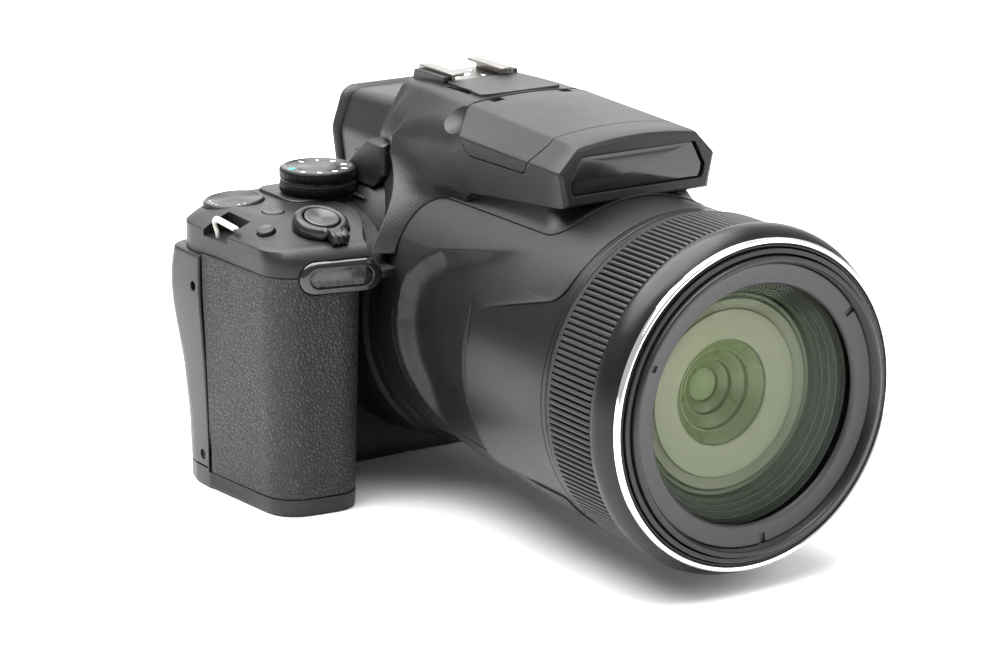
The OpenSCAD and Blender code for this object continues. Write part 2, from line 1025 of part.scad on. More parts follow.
module flash_lid() {
    color(shell_black)
        difference() {
            intersection() {
                hump_form();
                side_profile(lid_points(0), far);
            }
            lid_ears(play);
            pin_along_x(lid_axis, lid_pin_r + 0.05, 17.2);
            side_profile([[60, 110], [72, 104 - seam], [75.4 + seam, 104 - seam], [75.4 + seam, 110]],
                         window_half + seam);
            side_profile([[75, 104.6], [80, 104.6], [80, 109.4], [75, 109.4]], window_half);
        }
}

module flash_window() {
    color([0.85, 0.86, 0.84])
        side_profile(window_points, window_half);
}

module flash_tube() {
    color([0.9, 0.9, 0.9])
        pin_along_x(tube_place, tube_r, window_half - seam);
}

module flash_hinge_pin() {
    color(steel)
        pin_along_x(lid_axis, lid_pin_r, 17);
}

flash_button_place = [100, 98];
flash_button_r = 3;
flash_button_x = 24.2;

module at_flash_button() {
    translate([flash_button_x, deep(flash_button_place.x), flash_button_place.y])
        rotate([0, 90, 0])
            children();
}

module flash_button() {
    color(shell_black)
        at_flash_button()
            translate([0, 0, top_travel + play])
                cylinder(r = flash_button_r, h = 3.2);
}

plate_points = [[-21, 99.2], [21, 99.2], [22, 103], [18.6, 109.4], [-18.6, 109.4], [-22, 103]];

module front_plate(front, back, gap) {
    translate([0, deep(back), 0])
        rotate([90, 0, 0])
            linear_extrude(back - front)
                polygon([for (p = plate_points) [p.x + sign(p.x) * gap, p.y + (p.y < 105 ? -gap : gap)]]);
}

module name_plate() {
    color(gloss_black)
        front_plate(hump_front - 0.2, hump_front + 1.2 - seam, 0);
}

shoe_wall = 1;
shoe_plate = 0.8;
shoe_gap = 2.05;
shoe_front = 132.5;
shoe_length = 18.2;
shoe_half = shoe_slot / 2 + shoe_wall;

module hot_shoe() {
    color(steel)
        translate([0, deep(shoe_front), shoe_seat])
            difference() {
                box([-shoe_half, 0, 0], [shoe_half, shoe_length, 2 * shoe_plate + shoe_gap]);
                box([-shoe_slot / 2, 1.5, shoe_plate], [shoe_slot / 2, far, shoe_plate + shoe_gap]);
                box([-shoe_mouth / 2, -1, shoe_plate], [shoe_mouth / 2, far, far]);
            }
}

module hump_cover() {
    color(shell_black)
        difference() {
            union() {
                hump_form();
                box([-neck_half, deep(neck_front), 85], [neck_half, deep(118), neck_top]);
                box([-shoe_half - 0.8, deep(111), 108], [shoe_half + 0.8, deep(hump_back), shoe_seat]);
            }
            along_axis(neck_front - 0.01)
                cylinder(r = barrel_r + seam, h = -deep(neck_front) - body_front);
            along_axis(hump_front - 5)
                cylinder(r = overhang_r, h = neck_front - hump_front + 5);
            difference() {
                side_profile(lid_points(play), far);
                lid_ears(0);
            }
            pin_along_x(lid_axis, lid_pin_r + 0.02, 17.2);
            front_plate(hump_front - 1, hump_front + 1.2, seam);
            at_flash_button()
                cylinder(r = flash_button_r + play, h = 10);
        }
}

// Viewfinder behind the hump

evf_back = 178;
evf_half = 20.5;
evf_edge = 5;
eye_back = 181.3;
eye_hole = [9.5, 89.5, 101.5];

function evf_outline(half, top) = rounded([
    [-half + 1.5, hump_low, 3], [half - 1.5, hump_low, 3], [half, 95, 8],
    [half - 4, top, evf_edge], [-half + 4, top, evf_edge], [-half, 95, 8]
], 4);

module evf_housing() {
    color(shell_black)
        difference() {
            loft([elevation(evf_outline(evf_half, 106.2), evf_back),
                  elevation(evf_outline(evf_half + 0.4, 106.8), 170),
                  elevation(evf_outline(evf_half, 107.6), hump_back + seam)]);
            along_axis(hump_back - 1)
                cylinder(r = collar_r + 2 * seam, h = -deep(hump_back) - body_front + 2);
            box([-eye_hole[0] - 0.6, deep(166), eye_hole[1] - 0.6],
                [eye_hole[0] + 0.6, far, eye_hole[2] + 0.6]);
            at_diopter()
                translate([0, 0, -play])
                    cylinder(r = diopter_r + play, h = 10);
        }
}

module eyecup() {
    color(rubber_black)
        difference() {
            loft([elevation(evf_outline(evf_half + 0.9, 107), eye_back),
                  elevation(evf_outline(evf_half + 1.2, 107), eye_back - 1.4),
                  elevation(evf_outline(evf_half - 0.4, 106), evf_back + seam)]);
            box([-eye_hole[0] - 1.5, -far, eye_hole[1] - 1.5], [eye_hole[0] + 1.5, far, eye_hole[2] + 1.5]);
        }
}

module eyepiece_lens() {
    color(glass_green)
        box([-eye_hole[0] - 0.4, deep(166) + 1, eye_hole[1] - 0.4],
            [eye_hole[0] + 0.4, deep(166) + 4, eye_hole[2] + 0.4]);
}

diopter_r = 3.8;
diopter_place = [160, 90];
diopter_x = -17.5;

module at_diopter() {
    translate([diopter_x, deep(diopter_place.x), diopter_place.y])
        rotate([0, -90, 0])
            children();
}

module diopter_knob() {
    color(gloss_black)
        at_diopter()
            ribbed(diopter_r, 0.3, 24, 8);
}

// Lens, from the fixed housing inwards

ring_front = 11.7;
ring_back = 31.1;
ring_end = 33.1;
ring_groove = 0.5;
ring_lip_r = ring_r - ring_groove - 0.2;
ring_sides = 192;
housing_end = collar_depth - play;
outer_wall = 1.5;
outer_in_r = nose_r + play;
outer_r = outer_in_r + outer_wall;
bore_r = outer_r + play;
neck_wall = 1.3;
neck_r = bore_r + neck_wall;
neck_start = 6;
bore_end = 80;

relief_top = 140;
relief_bottom = 235;

// Radius of the housing at angle t from +X and at a depth: a finger relief on the grip side
function housing_r(t, depth) =
    let (
        upper = smooth(relief_top, relief_top + 22, t),
        around = upper * (1 - smooth(relief_bottom, relief_bottom + 25, t)),
        lengthwise = smooth(72, 92, depth) * (1 - smooth(104, 113, depth)),
        rear = smooth(108, housing_end, depth)
    )
    barrel_r - relief_depth * around * lengthwise - 2.2 * rear * around;

housing_sides = 48;
housing_depths = [ring_end + play, 50, 72, 77, 82, 87, 92, 98, 104, 107, 110, 113, housing_end];

module housing_form() {
    last = len(housing_depths) - 1;
    loft([for (i = [0:last]) let (depth = housing_depths[last - i])
        [for (j = [0:housing_sides - 1]) let (t = 360 * j / housing_sides, r = housing_r(t, depth))
            [r * cos(t), deep(depth), lens_height + r * sin(t)]]]);
}

// Raised pad on the far side for the side zoom lever
pad_front = 56;
pad_back = 103;
pad_half = 12;
pad_x = 46;
lever_depth = 70;
return_depth = 93;
return_r = 4;
lever_pin_r = 1.5;
lever_rise = 3.6;
lever_half = 9;
lever_width = 4;
lever_pin_x = 43.8;

module at_side(depth, x) {
    translate([x, deep(depth), lens_height])
        rotate([0, 90, 0])
            children();
}

module lens_housing() {
    color(shell_black)
        difference() {
            union() {
                housing_form();
                along_axis(neck_start)
                    cylinder(r = neck_r, h = ring_end + 2 - neck_start);
                box([38, deep(pad_front), lens_height - pad_half],
                    [pad_x, deep(pad_back), lens_height + pad_half]);
            }
            along_axis(0)
                cylinder(r = bore_r, h = bore_end);
            along_axis(bore_end - 1)
                cylinder(r = tube_bore, h = 60);
            at_side(lever_depth, lever_pin_x - play)
                cylinder(r = lever_pin_r + 0.05, h = 10);
            at_side(return_depth, pad_x - 2.4)
                cylinder(r = return_r + play, h = 10);
        }
}

module side_zoom_lever() {
    color(gloss_black)
        union() {
            at_side(lever_depth, lever_pin_x)
                cylinder(r = lever_pin_r, h = pad_x - lever_pin_x + 1);
            at_side(lever_depth, pad_x + play) {
                translate([-lever_half + lever_width, -lever_width, 0])
                    cube([2 * (lever_half - lever_width), 2 * lever_width, lever_rise]);
                for (side = [-1, 1])
                    translate([side * (lever_half - lever_width), 0, 0])
                        cylinder(r = lever_width, h = lever_rise);
            }
        }
}

module zoom_return_button() {
    color(shell_black)
        at_side(return_depth, pad_x - 2.4 + top_travel + play)
            cylinder(r = return_r, h = 2.9);
}

chrome_in = 43.3;
chrome_out = 44.9;
chrome_front = 1.7;
chrome_back = 3.3;

module front_bezel() {
    color(gloss_black)
        along_axis(0)
            rotate_extrude($fn = 96)
                polygon([
                    [bore_r, 2.2], [chrome_in - seam, 2.2], [chrome_in - seam, chrome_back],
                    [chrome_out, chrome_back], [bezel_r - 1, 6.4], [bezel_r, 8.8], [bezel_r, 10.2],
                    [bezel_r - 0.9, ring_front - play], [neck_r + seam, ring_front - play],
                    [neck_r + seam, neck_start - seam], [bore_r, neck_start - seam]
                ]);
}

module chrome_ring() {
    color([0.9, 0.9, 0.9])
        along_axis(0)
            rotate_extrude($fn = 96)
                polygon([
                    [chrome_in, chrome_back], [chrome_in, chrome_front + 0.3],
                    [chrome_in + 0.5, chrome_front],
                    [chrome_out - 0.5, chrome_front + 0.3], [chrome_out, chrome_back - 0.3],
                    [chrome_out, chrome_back]
                ]);
}

module control_ring() {
    color(rubber_black)
        difference() {
            union() {
                along_axis(ring_front)
                    ribbed(ring_r, ring_groove, ring_ribs, ring_back - ring_front);
                along_axis(ring_back)
                    cylinder(r = ring_lip_r, h = ring_end - ring_back, $fn = ring_sides);
            }
            along_axis(ring_front - 1)
                cylinder(r = neck_r + play, h = ring_end, $fn = ring_sides);
        }
}

outer_front = 1.4;
outer_end = 75;
inner_end = 73;
cell_r = 35.5;
cell_front = 4;
cell_back = 14;
slide_r = 38.9;

module outer_zoom_barrel() {
    color(gloss_black)
        along_axis(outer_front)
            tube(outer_r, outer_in_r, outer_end - outer_front);
}

module inner_zoom_barrel() {
    color(gloss_black)
        difference() {
            along_axis(0)
                cylinder(r = nose_r, h = inner_end);
            along_axis(-1)
                cylinder(r = filter_r, h = cell_front + 1);
            along_axis(1)
                cylinder(r = cell_r, h = cell_back);
            along_axis(cell_back)
                cylinder(r = slide_r, h = inner_end);
        }
}

glass_edge_r = 32.5;
glass_curve = 150;
glass_front = 0.6;
glass_back = 10;

module retaining_ring() {
    color([0.3, 0.3, 0.3])
        along_axis(0)
            rotate_extrude()
                polygon([
                    [glass_edge_r, cell_front], [glass_edge_r, cell_front - 0.6],
                    [glass_edge_r + 1, cell_front - 1.4],
                    [filter_r - seam, cell_front - 1.8], [filter_r - seam, cell_front]
                ]);
}

function glass_depth(r) = glass_front + glass_curve - sqrt(glass_curve * glass_curve - r * r);

module front_element() {
    color(glass_green)
        along_axis(0)
            rotate_extrude()
                polygon(concat(
                    [for (i = [0:10]) let (r = (cell_r - seam) * i / 10) [r, glass_depth(r)]],
                    [[cell_r - seam, glass_back], [0, glass_back]]
                ));
}

variator_front = 22;
variator_back = 34;
variator_r = 14;
variator_travel = 20;

module variator_frame() {
    color([0.35, 0.37, 0.32])
        along_axis(variator_front)
            tube(slide_r - play, variator_r + seam, variator_back - variator_front);
}

module variator_lens() {
    color(glass_green)
        along_axis(variator_front)
            rotate_extrude()
                polygon(concat(
                    [for (i = [0:8]) let (r = variator_r * i / 8) [r, 0.2 + 2 * pow(r / variator_r, 2)]],
                    [[variator_r, 9], [0, 9]]
                ));
}

tube_front = 82;
tube_end = 149;

module rear_lens_tube() {
    color(gloss_black)
        along_axis(tube_front)
            difference() {
                cylinder(r = tube_bore - seam, h = tube_end - tube_front);
                translate([0, 0, -1])
                    cylinder(r = 33, h = 30);
                translate([0, 0, 35])
                    cylinder(r = 30, h = 60);
                cylinder(r = 12, h = 60);
            }
}

board_front = -body_front + wall + 0.2;
board_thick = 1.6;
sensor_thick = 3;

module image_sensor() {
    color([0.2, 0.3, 0.35])
        box([-12, board_front - sensor_thick, lens_height - 10], [12, board_front, lens_height + 10]);
}

module main_board() {
    color([0.1, 0.3, 0.15])
        box([-44, board_front, cavity_low + 2], [body_left - 10, board_front + board_thick, top_seam - 5]);
}

front_cover();
rear_cover();
top_cover();
bottom_cover();
grip_rubber();
thumb_rest();
right_side_panel();
hump_cover();
evf_housing();
eyecup();
eyepiece_lens();
diopter_knob();
name_plate();
hot_shoe();
flash_lid();
flash_window();
flash_tube();
flash_hinge_pin();
flash_button();
mode_dial();
command_dial();
zoom_lever();
shutter_button();
power_button();
function_button();
af_lamp_bezel();
af_lamp_window();
strap_lugs();
lens_housing();
front_bezel();
chrome_ring();
control_ring();
outer_zoom_barrel();
inner_zoom_barrel();
retaining_ring();
front_element();
variator_frame();
variator_lens();
rear_lens_tube();
image_sensor();
main_board();
side_zoom_lever();
zoom_return_button();
monitor_frame();
monitor_screen();
monitor_hinge();
multi_selector();
ok_button();
playback_button();
menu_button();
delete_button();
movie_button();
lock_button();
battery_door();
battery_door_latch();
battery();
tripod_socket();
terminal_cover();
terminal_block();
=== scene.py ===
import json
import math

import bmesh
import bpy
import numpy as np
from mathutils import Matrix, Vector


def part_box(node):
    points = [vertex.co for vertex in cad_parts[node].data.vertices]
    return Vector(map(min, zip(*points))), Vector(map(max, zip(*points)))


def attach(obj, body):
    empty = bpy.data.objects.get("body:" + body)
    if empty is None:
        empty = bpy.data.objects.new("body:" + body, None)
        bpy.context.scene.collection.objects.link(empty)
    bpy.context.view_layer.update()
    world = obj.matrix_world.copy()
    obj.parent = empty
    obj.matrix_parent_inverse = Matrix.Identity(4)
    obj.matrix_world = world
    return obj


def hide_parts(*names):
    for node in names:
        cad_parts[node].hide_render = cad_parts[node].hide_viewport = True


bl_info = {
    "name": "Bridge Camera",
    "version": (1, 0, 0),
    "blender": (4, 5, 0),
    "location": "View3D > Sidebar > Bridge Camera",
    "description": "Dresses the frame of a bridge camera with finished surfaces and sets its studio",
    "category": "Object",
}

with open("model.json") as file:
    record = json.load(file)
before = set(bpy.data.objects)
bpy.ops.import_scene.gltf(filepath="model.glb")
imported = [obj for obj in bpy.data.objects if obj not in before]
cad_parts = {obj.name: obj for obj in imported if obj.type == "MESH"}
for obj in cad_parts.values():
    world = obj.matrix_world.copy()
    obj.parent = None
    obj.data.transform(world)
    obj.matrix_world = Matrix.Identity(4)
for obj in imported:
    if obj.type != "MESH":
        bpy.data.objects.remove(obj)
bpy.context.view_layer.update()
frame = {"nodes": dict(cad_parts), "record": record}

# Shapes are worked out in millimetres and put into the meshes in metres.
MM = 0.001


def node_box(name):
    """Lowest and highest corner of a CAD node in millimetres."""
    low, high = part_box(name)
    return np.array(low) / MM, np.array(high) / MM


NOSE_LOW, NOSE_HIGH = node_box("inner_zoom_barrel")
LENS_HEIGHT = (NOSE_LOW[2] + NOSE_HIGH[2]) / 2
NOSE_REACH = -NOSE_LOW[1]

# Turns in degrees about X, Y and Z that point a piece's Z up, back, out at the far side and out at the grip
UPRIGHT = (0, 0, 0)
BACKWARD = (-90, 0, 0)
FARWARD = (0, 90, 0)
GRIPWARD = (0, -90, 0)


def deep(depth):
    """Y of a place that lies a depth behind the lens nose."""
    return depth - NOSE_REACH


def seat(name, axis):
    """Middle of a CAD node's low side along an axis, and the node's height from there."""
    low, high = node_box(name)
    place = (low + high) / 2
    place[axis] = low[axis]
    return place, high[axis] - low[axis]


class CameraSizes(bpy.types.PropertyGroup):
    """Sizes that a user would change on the finished surfaces"""

    barrel_radius: bpy.props.FloatProperty(
        name="Barrel radius",
        description="Radius of the fixed lens barrel",
        default=45.2 * MM,
        unit="LENGTH",
    )
    relief_depth: bpy.props.FloatProperty(
        name="Finger relief",
        description="How far the finger relief is sunk into the lens barrel",
        default=4.6 * MM,
        unit="LENGTH",
    )
    ring_ribs: bpy.props.IntProperty(
        name="Control ring ribs",
        description="Number of ribs round the control ring",
        default=169,
    )
    roof_crown: bpy.props.FloatProperty(
        name="Roof crown",
        description="Rise of the middle of the hump's roof over its edges",
        default=1.6 * MM,
        unit="LENGTH",
    )


class CameraFinish(bpy.types.PropertyGroup):
    """Colours of the finishes"""

    shell: bpy.props.FloatVectorProperty(
        name="Shell",
        description="Colour of the moulded covers",
        default=(0.0055, 0.0056, 0.0059),
        subtype="COLOR",
    )
    rubber: bpy.props.FloatVectorProperty(
        name="Grip rubber",
        description="Colour of the grip rubber",
        default=(0.02, 0.02, 0.0205),
        subtype="COLOR",
    )
    # Painted reflection: this colour stands in for the light that the coated lens groups reflect
    sage_reflection: bpy.props.FloatVectorProperty(
        name="Coating",
        description="Colour that the coated lens groups send back",
        default=(0.165, 0.16, 0.132),
        subtype="COLOR",
    )
    mark: bpy.props.FloatVectorProperty(
        name="Marks",
        description="Colour of the printed marks",
        default=(0.8, 0.8, 0.8),
        subtype="COLOR",
    )


def sizes():
    """Sizes of the scene's camera."""
    return bpy.context.scene.bridge_camera_sizes


def finish():
    """Colours of the scene's camera."""
    return bpy.context.scene.bridge_camera_finish


# Mesh tools: whole arrays in, closed meshes out


def smooth(a, b, t):
    """Eased step from 0 at a to 1 at b."""
    u = np.clip((t - a) / (b - a), 0, 1)
    return u * u * (3 - 2 * u)


def around(count):
    """Angles of one full turn without its end."""
    return np.linspace(0, 2 * np.pi, count, endpoint=False)


def edge_inset(radius, height):
    """Draw-in of a rounded edge at a distance from the flat that it rolls into."""
    rest = np.clip(radius - np.asarray(height, float), 0, radius)
    return radius - np.sqrt(radius * radius - rest * rest)


def rounded(corners, steps=6, edge_steps=1):
    """Outline through corners (..., k, 3) of x, y and radius: an arc at each corner and straight runs between."""
    c = np.asarray(corners, float)
    here, radius = c[..., :2], c[..., 2:]
    u = np.roll(here, 1, -2) - here
    v = np.roll(here, -1, -2) - here
    u = u / np.linalg.norm(u, axis=-1, keepdims=True)
    v = v / np.linalg.norm(v, axis=-1, keepdims=True)
    half = np.arccos(np.clip((u * v).sum(-1, keepdims=True), -1, 1)) / 2
    inward = u + v
    square = np.stack([-u[..., 1], u[..., 0]], -1)
    inward = np.where(np.linalg.norm(inward, axis=-1, keepdims=True) < 1e-5, square, inward)
    middle = here + inward / np.linalg.norm(inward, axis=-1, keepdims=True) * radius / np.sin(half)
    first = here + u * radius / np.tan(half) - middle
    last = here + v * radius / np.tan(half) - middle
    start = np.arctan2(first[..., 1], first[..., 0])
    turn = (np.arctan2(last[..., 1], last[..., 0]) - start + np.pi) % (2 * np.pi) - np.pi
    angle = start[..., None] + turn[..., None] * np.linspace(0, 1, steps + 1)
    arcs = middle[..., None, :] + radius[..., None, :] * np.stack([np.cos(angle), np.sin(angle)], -1)
    if edge_steps > 1:
        run = np.linspace(0, 1, edge_steps + 1)[1:-1, None]
        following = np.roll(arcs, -1, -3)[..., :1, :]
        arcs = np.concatenate([arcs, arcs[..., -1:, :] * (1 - run) + following * run], -2)
    return arcs.reshape(*arcs.shape[:-3], -1, 2)


def outlines(rows, steps=6, edge_steps=1):
    """Rounded outlines from corners of x, y and radius, each one number or one for every level."""
    values = np.broadcast_arrays(*(value for row in rows for value in row))
    return rounded(np.stack(values, -1).reshape(len(values[0]), -1, 3), steps, edge_steps)


def plan(rings, heights):
    """Outlines in plan (levels, n, 2) raised to their heights."""
    z = np.broadcast_to(np.asarray(heights, float)[:, None, None], rings.shape[:2] + (1,))
    return np.concatenate([rings, z], -1)


def elevation(rings, depths):
    """Outlines of x and z (stations, n, 2) set at their depths behind the nose."""
    y = np.broadcast_to(deep(np.asarray(depths, float))[:, None, None], rings.shape[:2] + (1,))
    return np.concatenate([rings[..., :1], y, rings[..., 1:]], -1)


def about_lens(radius, angle, depth):
    """Points at a radius and an angle from +X about the lens axis, at a depth."""
    r, a, d = np.broadcast_arrays(radius, angle, depth)
    return np.stack([r * np.cos(a), deep(d), LENS_HEIGHT + r * np.sin(a)], -1)


def grid_faces(rows, columns, wrap_rows, wrap_columns):
    """Quads of a grid of rows and columns, closed where it wraps."""
    index = np.arange(rows * columns).reshape(rows, columns)
    if wrap_rows:
        index = np.vstack([index, index[:1]])
    if wrap_columns:
        index = np.hstack([index, index[:, :1]])
    quads = [index[:-1, :-1], index[1:, :-1], index[1:, 1:], index[:-1, 1:]]
    return np.stack(quads, -1).reshape(-1, 4)


class Patch:
    """One grid of points in millimetres, with its wraps and whether its first and last rows are closed by caps."""

    def __init__(self, points, wrap_rows=False, wrap_columns=True, caps=False):
        self.points = np.asarray(points, float)
        self.wraps = wrap_rows, wrap_columns
        self.caps = caps

    def faces(self):
        """Faces of the grid, with its caps."""
        rows, columns = self.points.shape[:2]
        quads = grid_faces(rows, columns, *self.wraps).tolist()
        if self.caps:
            ring = list(range(columns))
            quads += [ring[::-1], [(rows - 1) * columns + i for i in ring]]
        return quads


def make(name, patches, finish_name=None, sharp=35.0):
    """Object at the origin from patches: doubles merged, faces turned outwards, shading broken at sharp edges."""
    points, faces, count = [], [], 0
    for patch in patches:
        flat = patch.points.reshape(-1, 3)
        points.append(flat)
        faces += [[count + i for i in face] for face in patch.faces()]
        count += len(flat)
    mesh = bpy.data.meshes.new(name)
    mesh.from_pydata((np.concatenate(points) * MM).tolist(), [], faces)
    tidy_mesh(mesh, sharp)
    obj = bpy.data.objects.new(name, mesh)
    bpy.context.scene.collection.objects.link(obj)
    if finish_name:
        coat(obj, finish_name)
    return obj


def tool(points):
    """Closed cutting tool from rings of points."""
    return make("tool", [Patch(points, caps=True)])


def coat(obj, finish_name):
    """Gives a piece one material."""
    obj.data.materials.clear()
    obj.data.materials.append(material(finish_name))


def paint(obj, finish_name, chosen):
    """Gives a second material to the faces whose middles, in millimetres, are chosen."""
    mesh = obj.data
    middles = np.empty(len(mesh.polygons) * 3)
    mesh.polygons.foreach_get("center", middles)
    mesh.materials.append(material(finish_name))
    second = chosen(middles.reshape(-1, 3) / MM)
    mesh.polygons.foreach_set("material_index", second.astype(np.int32))


def from_axis(points):
    """Distance of points from the lens axis."""
    return np.hypot(points[:, 0], points[:, 2] - LENS_HEIGHT)


def tidy_mesh(mesh, sharp):
    """Merges doubles, drops empty faces, turns faces outwards and shades smooth up to a sharp angle in degrees."""
    bm = bmesh.new()
    bm.from_mesh(mesh)
    bmesh.ops.remove_doubles(bm, verts=bm.verts, dist=2e-7)
    bmesh.ops.dissolve_degenerate(bm, edges=bm.edges, dist=1e-7)
    bmesh.ops.recalc_face_normals(bm, faces=bm.faces)
    bm.to_mesh(mesh)
    bm.free()
    mesh.polygons.foreach_set("use_smooth", np.ones(len(mesh.polygons), bool))
    mesh.set_sharp_from_angle(angle=math.radians(sharp))


def carve(obj, tools, operation="DIFFERENCE", sharp=35.0):
    """Cuts obj with closed tools, or keeps what it shares with them, and removes the tools."""
    for tool in tools:
        step = obj.modifiers.new("carve", "BOOLEAN")
        step.operation = operation
        step.solver = "EXACT"
        step.object = tool
    evaluated = obj.evaluated_get(bpy.context.evaluated_depsgraph_get())
    mesh = bpy.data.meshes.new_from_object(evaluated)
    mesh.name = obj.name
    obj.modifiers.clear()
    obj.data = mesh
    for tool in tools:
        bpy.data.objects.remove(tool)
    tidy_mesh(mesh, sharp)
    return obj


def block(low, high):
    """Closed box between two corners in millimetres, as a cutting tool."""
    low, high = np.asarray(low, float), np.asarray(high, float)
    square = np.array([[0, 0], [1, 0], [1, 1], [0, 1]])
    ring = low[:2] + square * (high[:2] - low[:2])
    return tool(plan(np.stack([ring, ring]), [low[2], high[2]]))


def drum(radius, start, end):
    """Closed cylinder about the lens axis between two depths, as a cutting tool."""
    return tool(about_lens(radius, around(192), np.array([[start], [end]])))


def side_prism(points, half):
    """Closed prism across the camera with an outline of depth and height, as a cutting tool."""
    p = np.asarray(points, float)
    ring = np.stack([np.ones(len(p)), deep(p[:, 0]), p[:, 1]], -1)
    return tool(np.stack([ring * [-half, 1, 1], ring * [half, 1, 1]]))


def side_pin(depth, height, radius, start, end):
    """Closed cylinder along +X between two places, as a cutting tool."""
    a = around(48)
    ring = np.stack([np.zeros_like(a), deep(depth) + radius * np.cos(a), height + radius * np.sin(a)], -1)
    return tool(np.stack([ring + (start, 0, 0), ring + (end, 0, 0)]))


def peg(radius, low, high, place, tilt=UPRIGHT, count=96):
    """Closed cylinder along a tilted Z at a place, as a cutting tool."""
    a = around(count)
    ring = np.stack([radius * np.cos(a), radius * np.sin(a)], -1)
    return tool(stand(plan(np.stack([ring, ring]), [low, high]), place, tilt))


def ball(radius, place):
    """Closed sphere, as a cutting tool."""
    a = np.linspace(-np.pi / 2, np.pi / 2, 33)
    return make("tool", [Patch(stand(spun(radius * np.stack([np.cos(a), np.sin(a)], -1), 64), place))])


def turned(profile, count=256):
    """Surface of revolution about the lens axis from a closed profile of radius and depth."""
    p = np.asarray(profile, float)
    return Patch(about_lens(p[:, :1], around(count), p[:, 1:]), wrap_rows=True)


def stand(points, place, tilt=UPRIGHT):
    """Points turned by degrees about X, then Y, then Z, and moved to a place."""
    out = np.asarray(points, float)
    for axis, degrees in enumerate(tilt):
        c, s = math.cos(math.radians(degrees)), math.sin(math.radians(degrees))
        i, j = (axis + 1) % 3, (axis + 2) % 3
        turned_points = out.copy()
        turned_points[..., i] = c * out[..., i] - s * out[..., j]
        turned_points[..., j] = s * out[..., i] + c * out[..., j]
        out = turned_points
    return out + np.asarray(place, float)


def spun(profile, count=96, ripple=None):
    """Surface of revolution about Z from an open profile of radius and height that starts and ends on the axis.

    ripple(angle, radius) gives a change of radius.
    """
    p = np.asarray(profile, float)
    a = around(count)
    r, z = np.broadcast_to(p[:, :1], (len(p), count)), np.broadcast_to(p[:, 1:], (len(p), count))
    if ripple:
        r = r + ripple(a, r)
    return np.stack([r * np.cos(a), r * np.sin(a), z], -1)


# Materials


class Finish:
    """A node material with a Principled shader, Object coordinates and softened edges."""

    def __init__(self, name, colour, roughness, edge_mm=0.0, **sockets):
        self.material = bpy.data.materials.new(name)
        self.material.use_nodes = True
        tree = self.material.node_tree
        self.nodes, self.links = tree.nodes, tree.links
        self.nodes.clear()
        self.output = self.nodes.new("ShaderNodeOutputMaterial")
        self.shader = self.nodes.new("ShaderNodeBsdfPrincipled")
        self.links.new(self.shader.outputs[0], self.output.inputs["Surface"])
        self.shader.inputs["Base Color"].default_value = (*colour, 1)
        self.shader.inputs["Roughness"].default_value = roughness
        for socket, value in sockets.items():
            self.shader.inputs[socket.replace("_", " ").title().replace("Ior", "IOR")].default_value = value
        self.place = self.nodes.new("ShaderNodeTexCoord").outputs["Object"]
        self.soft = None
        if edge_mm:
            self.soft = self.node("ShaderNodeBevel", {"Radius": edge_mm * MM}, samples=6).outputs[0]
            self.links.new(self.soft, self.shader.inputs["Normal"])

    def node(self, kind, inputs=None, **settings):
        """New node with its settings, and its inputs set or linked."""
        node = self.nodes.new(kind)
        for key, value in settings.items():
            setattr(node, key, value)
        for key, value in (inputs or {}).items():
            if hasattr(value, "is_output"):
                self.links.new(value, node.inputs[key])
            else:
                node.inputs[key].default_value = value
        return node

    def noise(self, size_mm, detail=2.0, rough=0.5, vector=None):
        """Noise whose features have a size in millimetres."""
        return self.node(
            "ShaderNodeTexNoise",
            {"Vector": vector or self.place, "Scale": 1000 / size_mm, "Detail": detail, "Roughness": rough},
        ).outputs["Fac"]

    def spread(self, value, low, high, start=0.3, end=0.7):
        """Value between start and end laid out between low and high."""
        return self.node(
            "ShaderNodeMapRange",
            {"Value": value, "From Min": start, "From Max": end, "To Min": low, "To Max": high},
        ).outputs["Result"]

    def mix(self, factor, first, second):
        """Colour between two colours."""
        node = self.node("ShaderNodeMix", data_type="RGBA")
        self.feed(node.inputs[0], factor)
        self.feed(node.inputs[6], first)
        self.feed(node.inputs[7], second)
        return node.outputs[2]

    def feed(self, socket, value):
        """Links an output to a socket, or sets the socket to a constant."""
        if hasattr(value, "is_output"):
            self.links.new(value, socket)
        else:
            socket.default_value = (*value, 1) if isinstance(value, tuple) and len(value) == 3 else value

    def math(self, operation, a, b=0.0):
        """Result of one arithmetic step."""
        node = self.node("ShaderNodeMath", operation=operation)
        self.feed(node.inputs[0], a)
        self.feed(node.inputs[1], b)
        return node.outputs[0]

    def colour(self, value):
        """Sets or links the base colour."""
        self.feed(self.shader.inputs["Base Color"], value)

    def roughness(self, value):
        """Sets or links the roughness."""
        self.feed(self.shader.inputs["Roughness"], value)

    def bump(self, height, strength, distance_mm):
        """Raises the surface's normal by a height, over the softened edges."""
        inputs = {"Height": height, "Strength": strength, "Distance": distance_mm * MM}
        if self.soft:
            inputs["Normal"] = self.soft
        node = self.node("ShaderNodeBump", inputs)
        self.links.new(node.outputs["Normal"], self.shader.inputs["Normal"])

    def share(self, value, start=0.3, end=0.7):
        """Value between start and end as a share from 0 to 1."""
        return self.spread(value, 0.0, 1.0, start, end)

    def away(self, place, keep):
        """Distance from an axis through a place in millimetres; keep holds 1 for the axes that count."""
        shift = [-p * k * MM for p, k in zip(place, keep)]
        centred = self.node("ShaderNodeMapping", {"Vector": self.place, "Location": shift, "Scale": keep}).outputs[0]
        return self.node("ShaderNodeVectorMath", {0: centred}, operation="LENGTH").outputs["Value"]

    def lens_radius(self):
        """Distance from the lens axis in metres."""
        return self.away((0.0, 0.0, LENS_HEIGHT), (1.0, 0.0, 1.0))


# Scales a colour: used for random tone drift, for the painted shade of the rubber's creases and for the painted
# reflection of the coatings
def scaled_colour(colour, factor):
    """Colour made darker or lighter by a factor."""
    return tuple(c * factor for c in colour)


MATERIALS = {}


def material(name):
    """Material of a finish, made at its first use."""
    if name not in MATERIALS:
        MATERIALS[name] = FINISHES[name]()
    return MATERIALS[name]


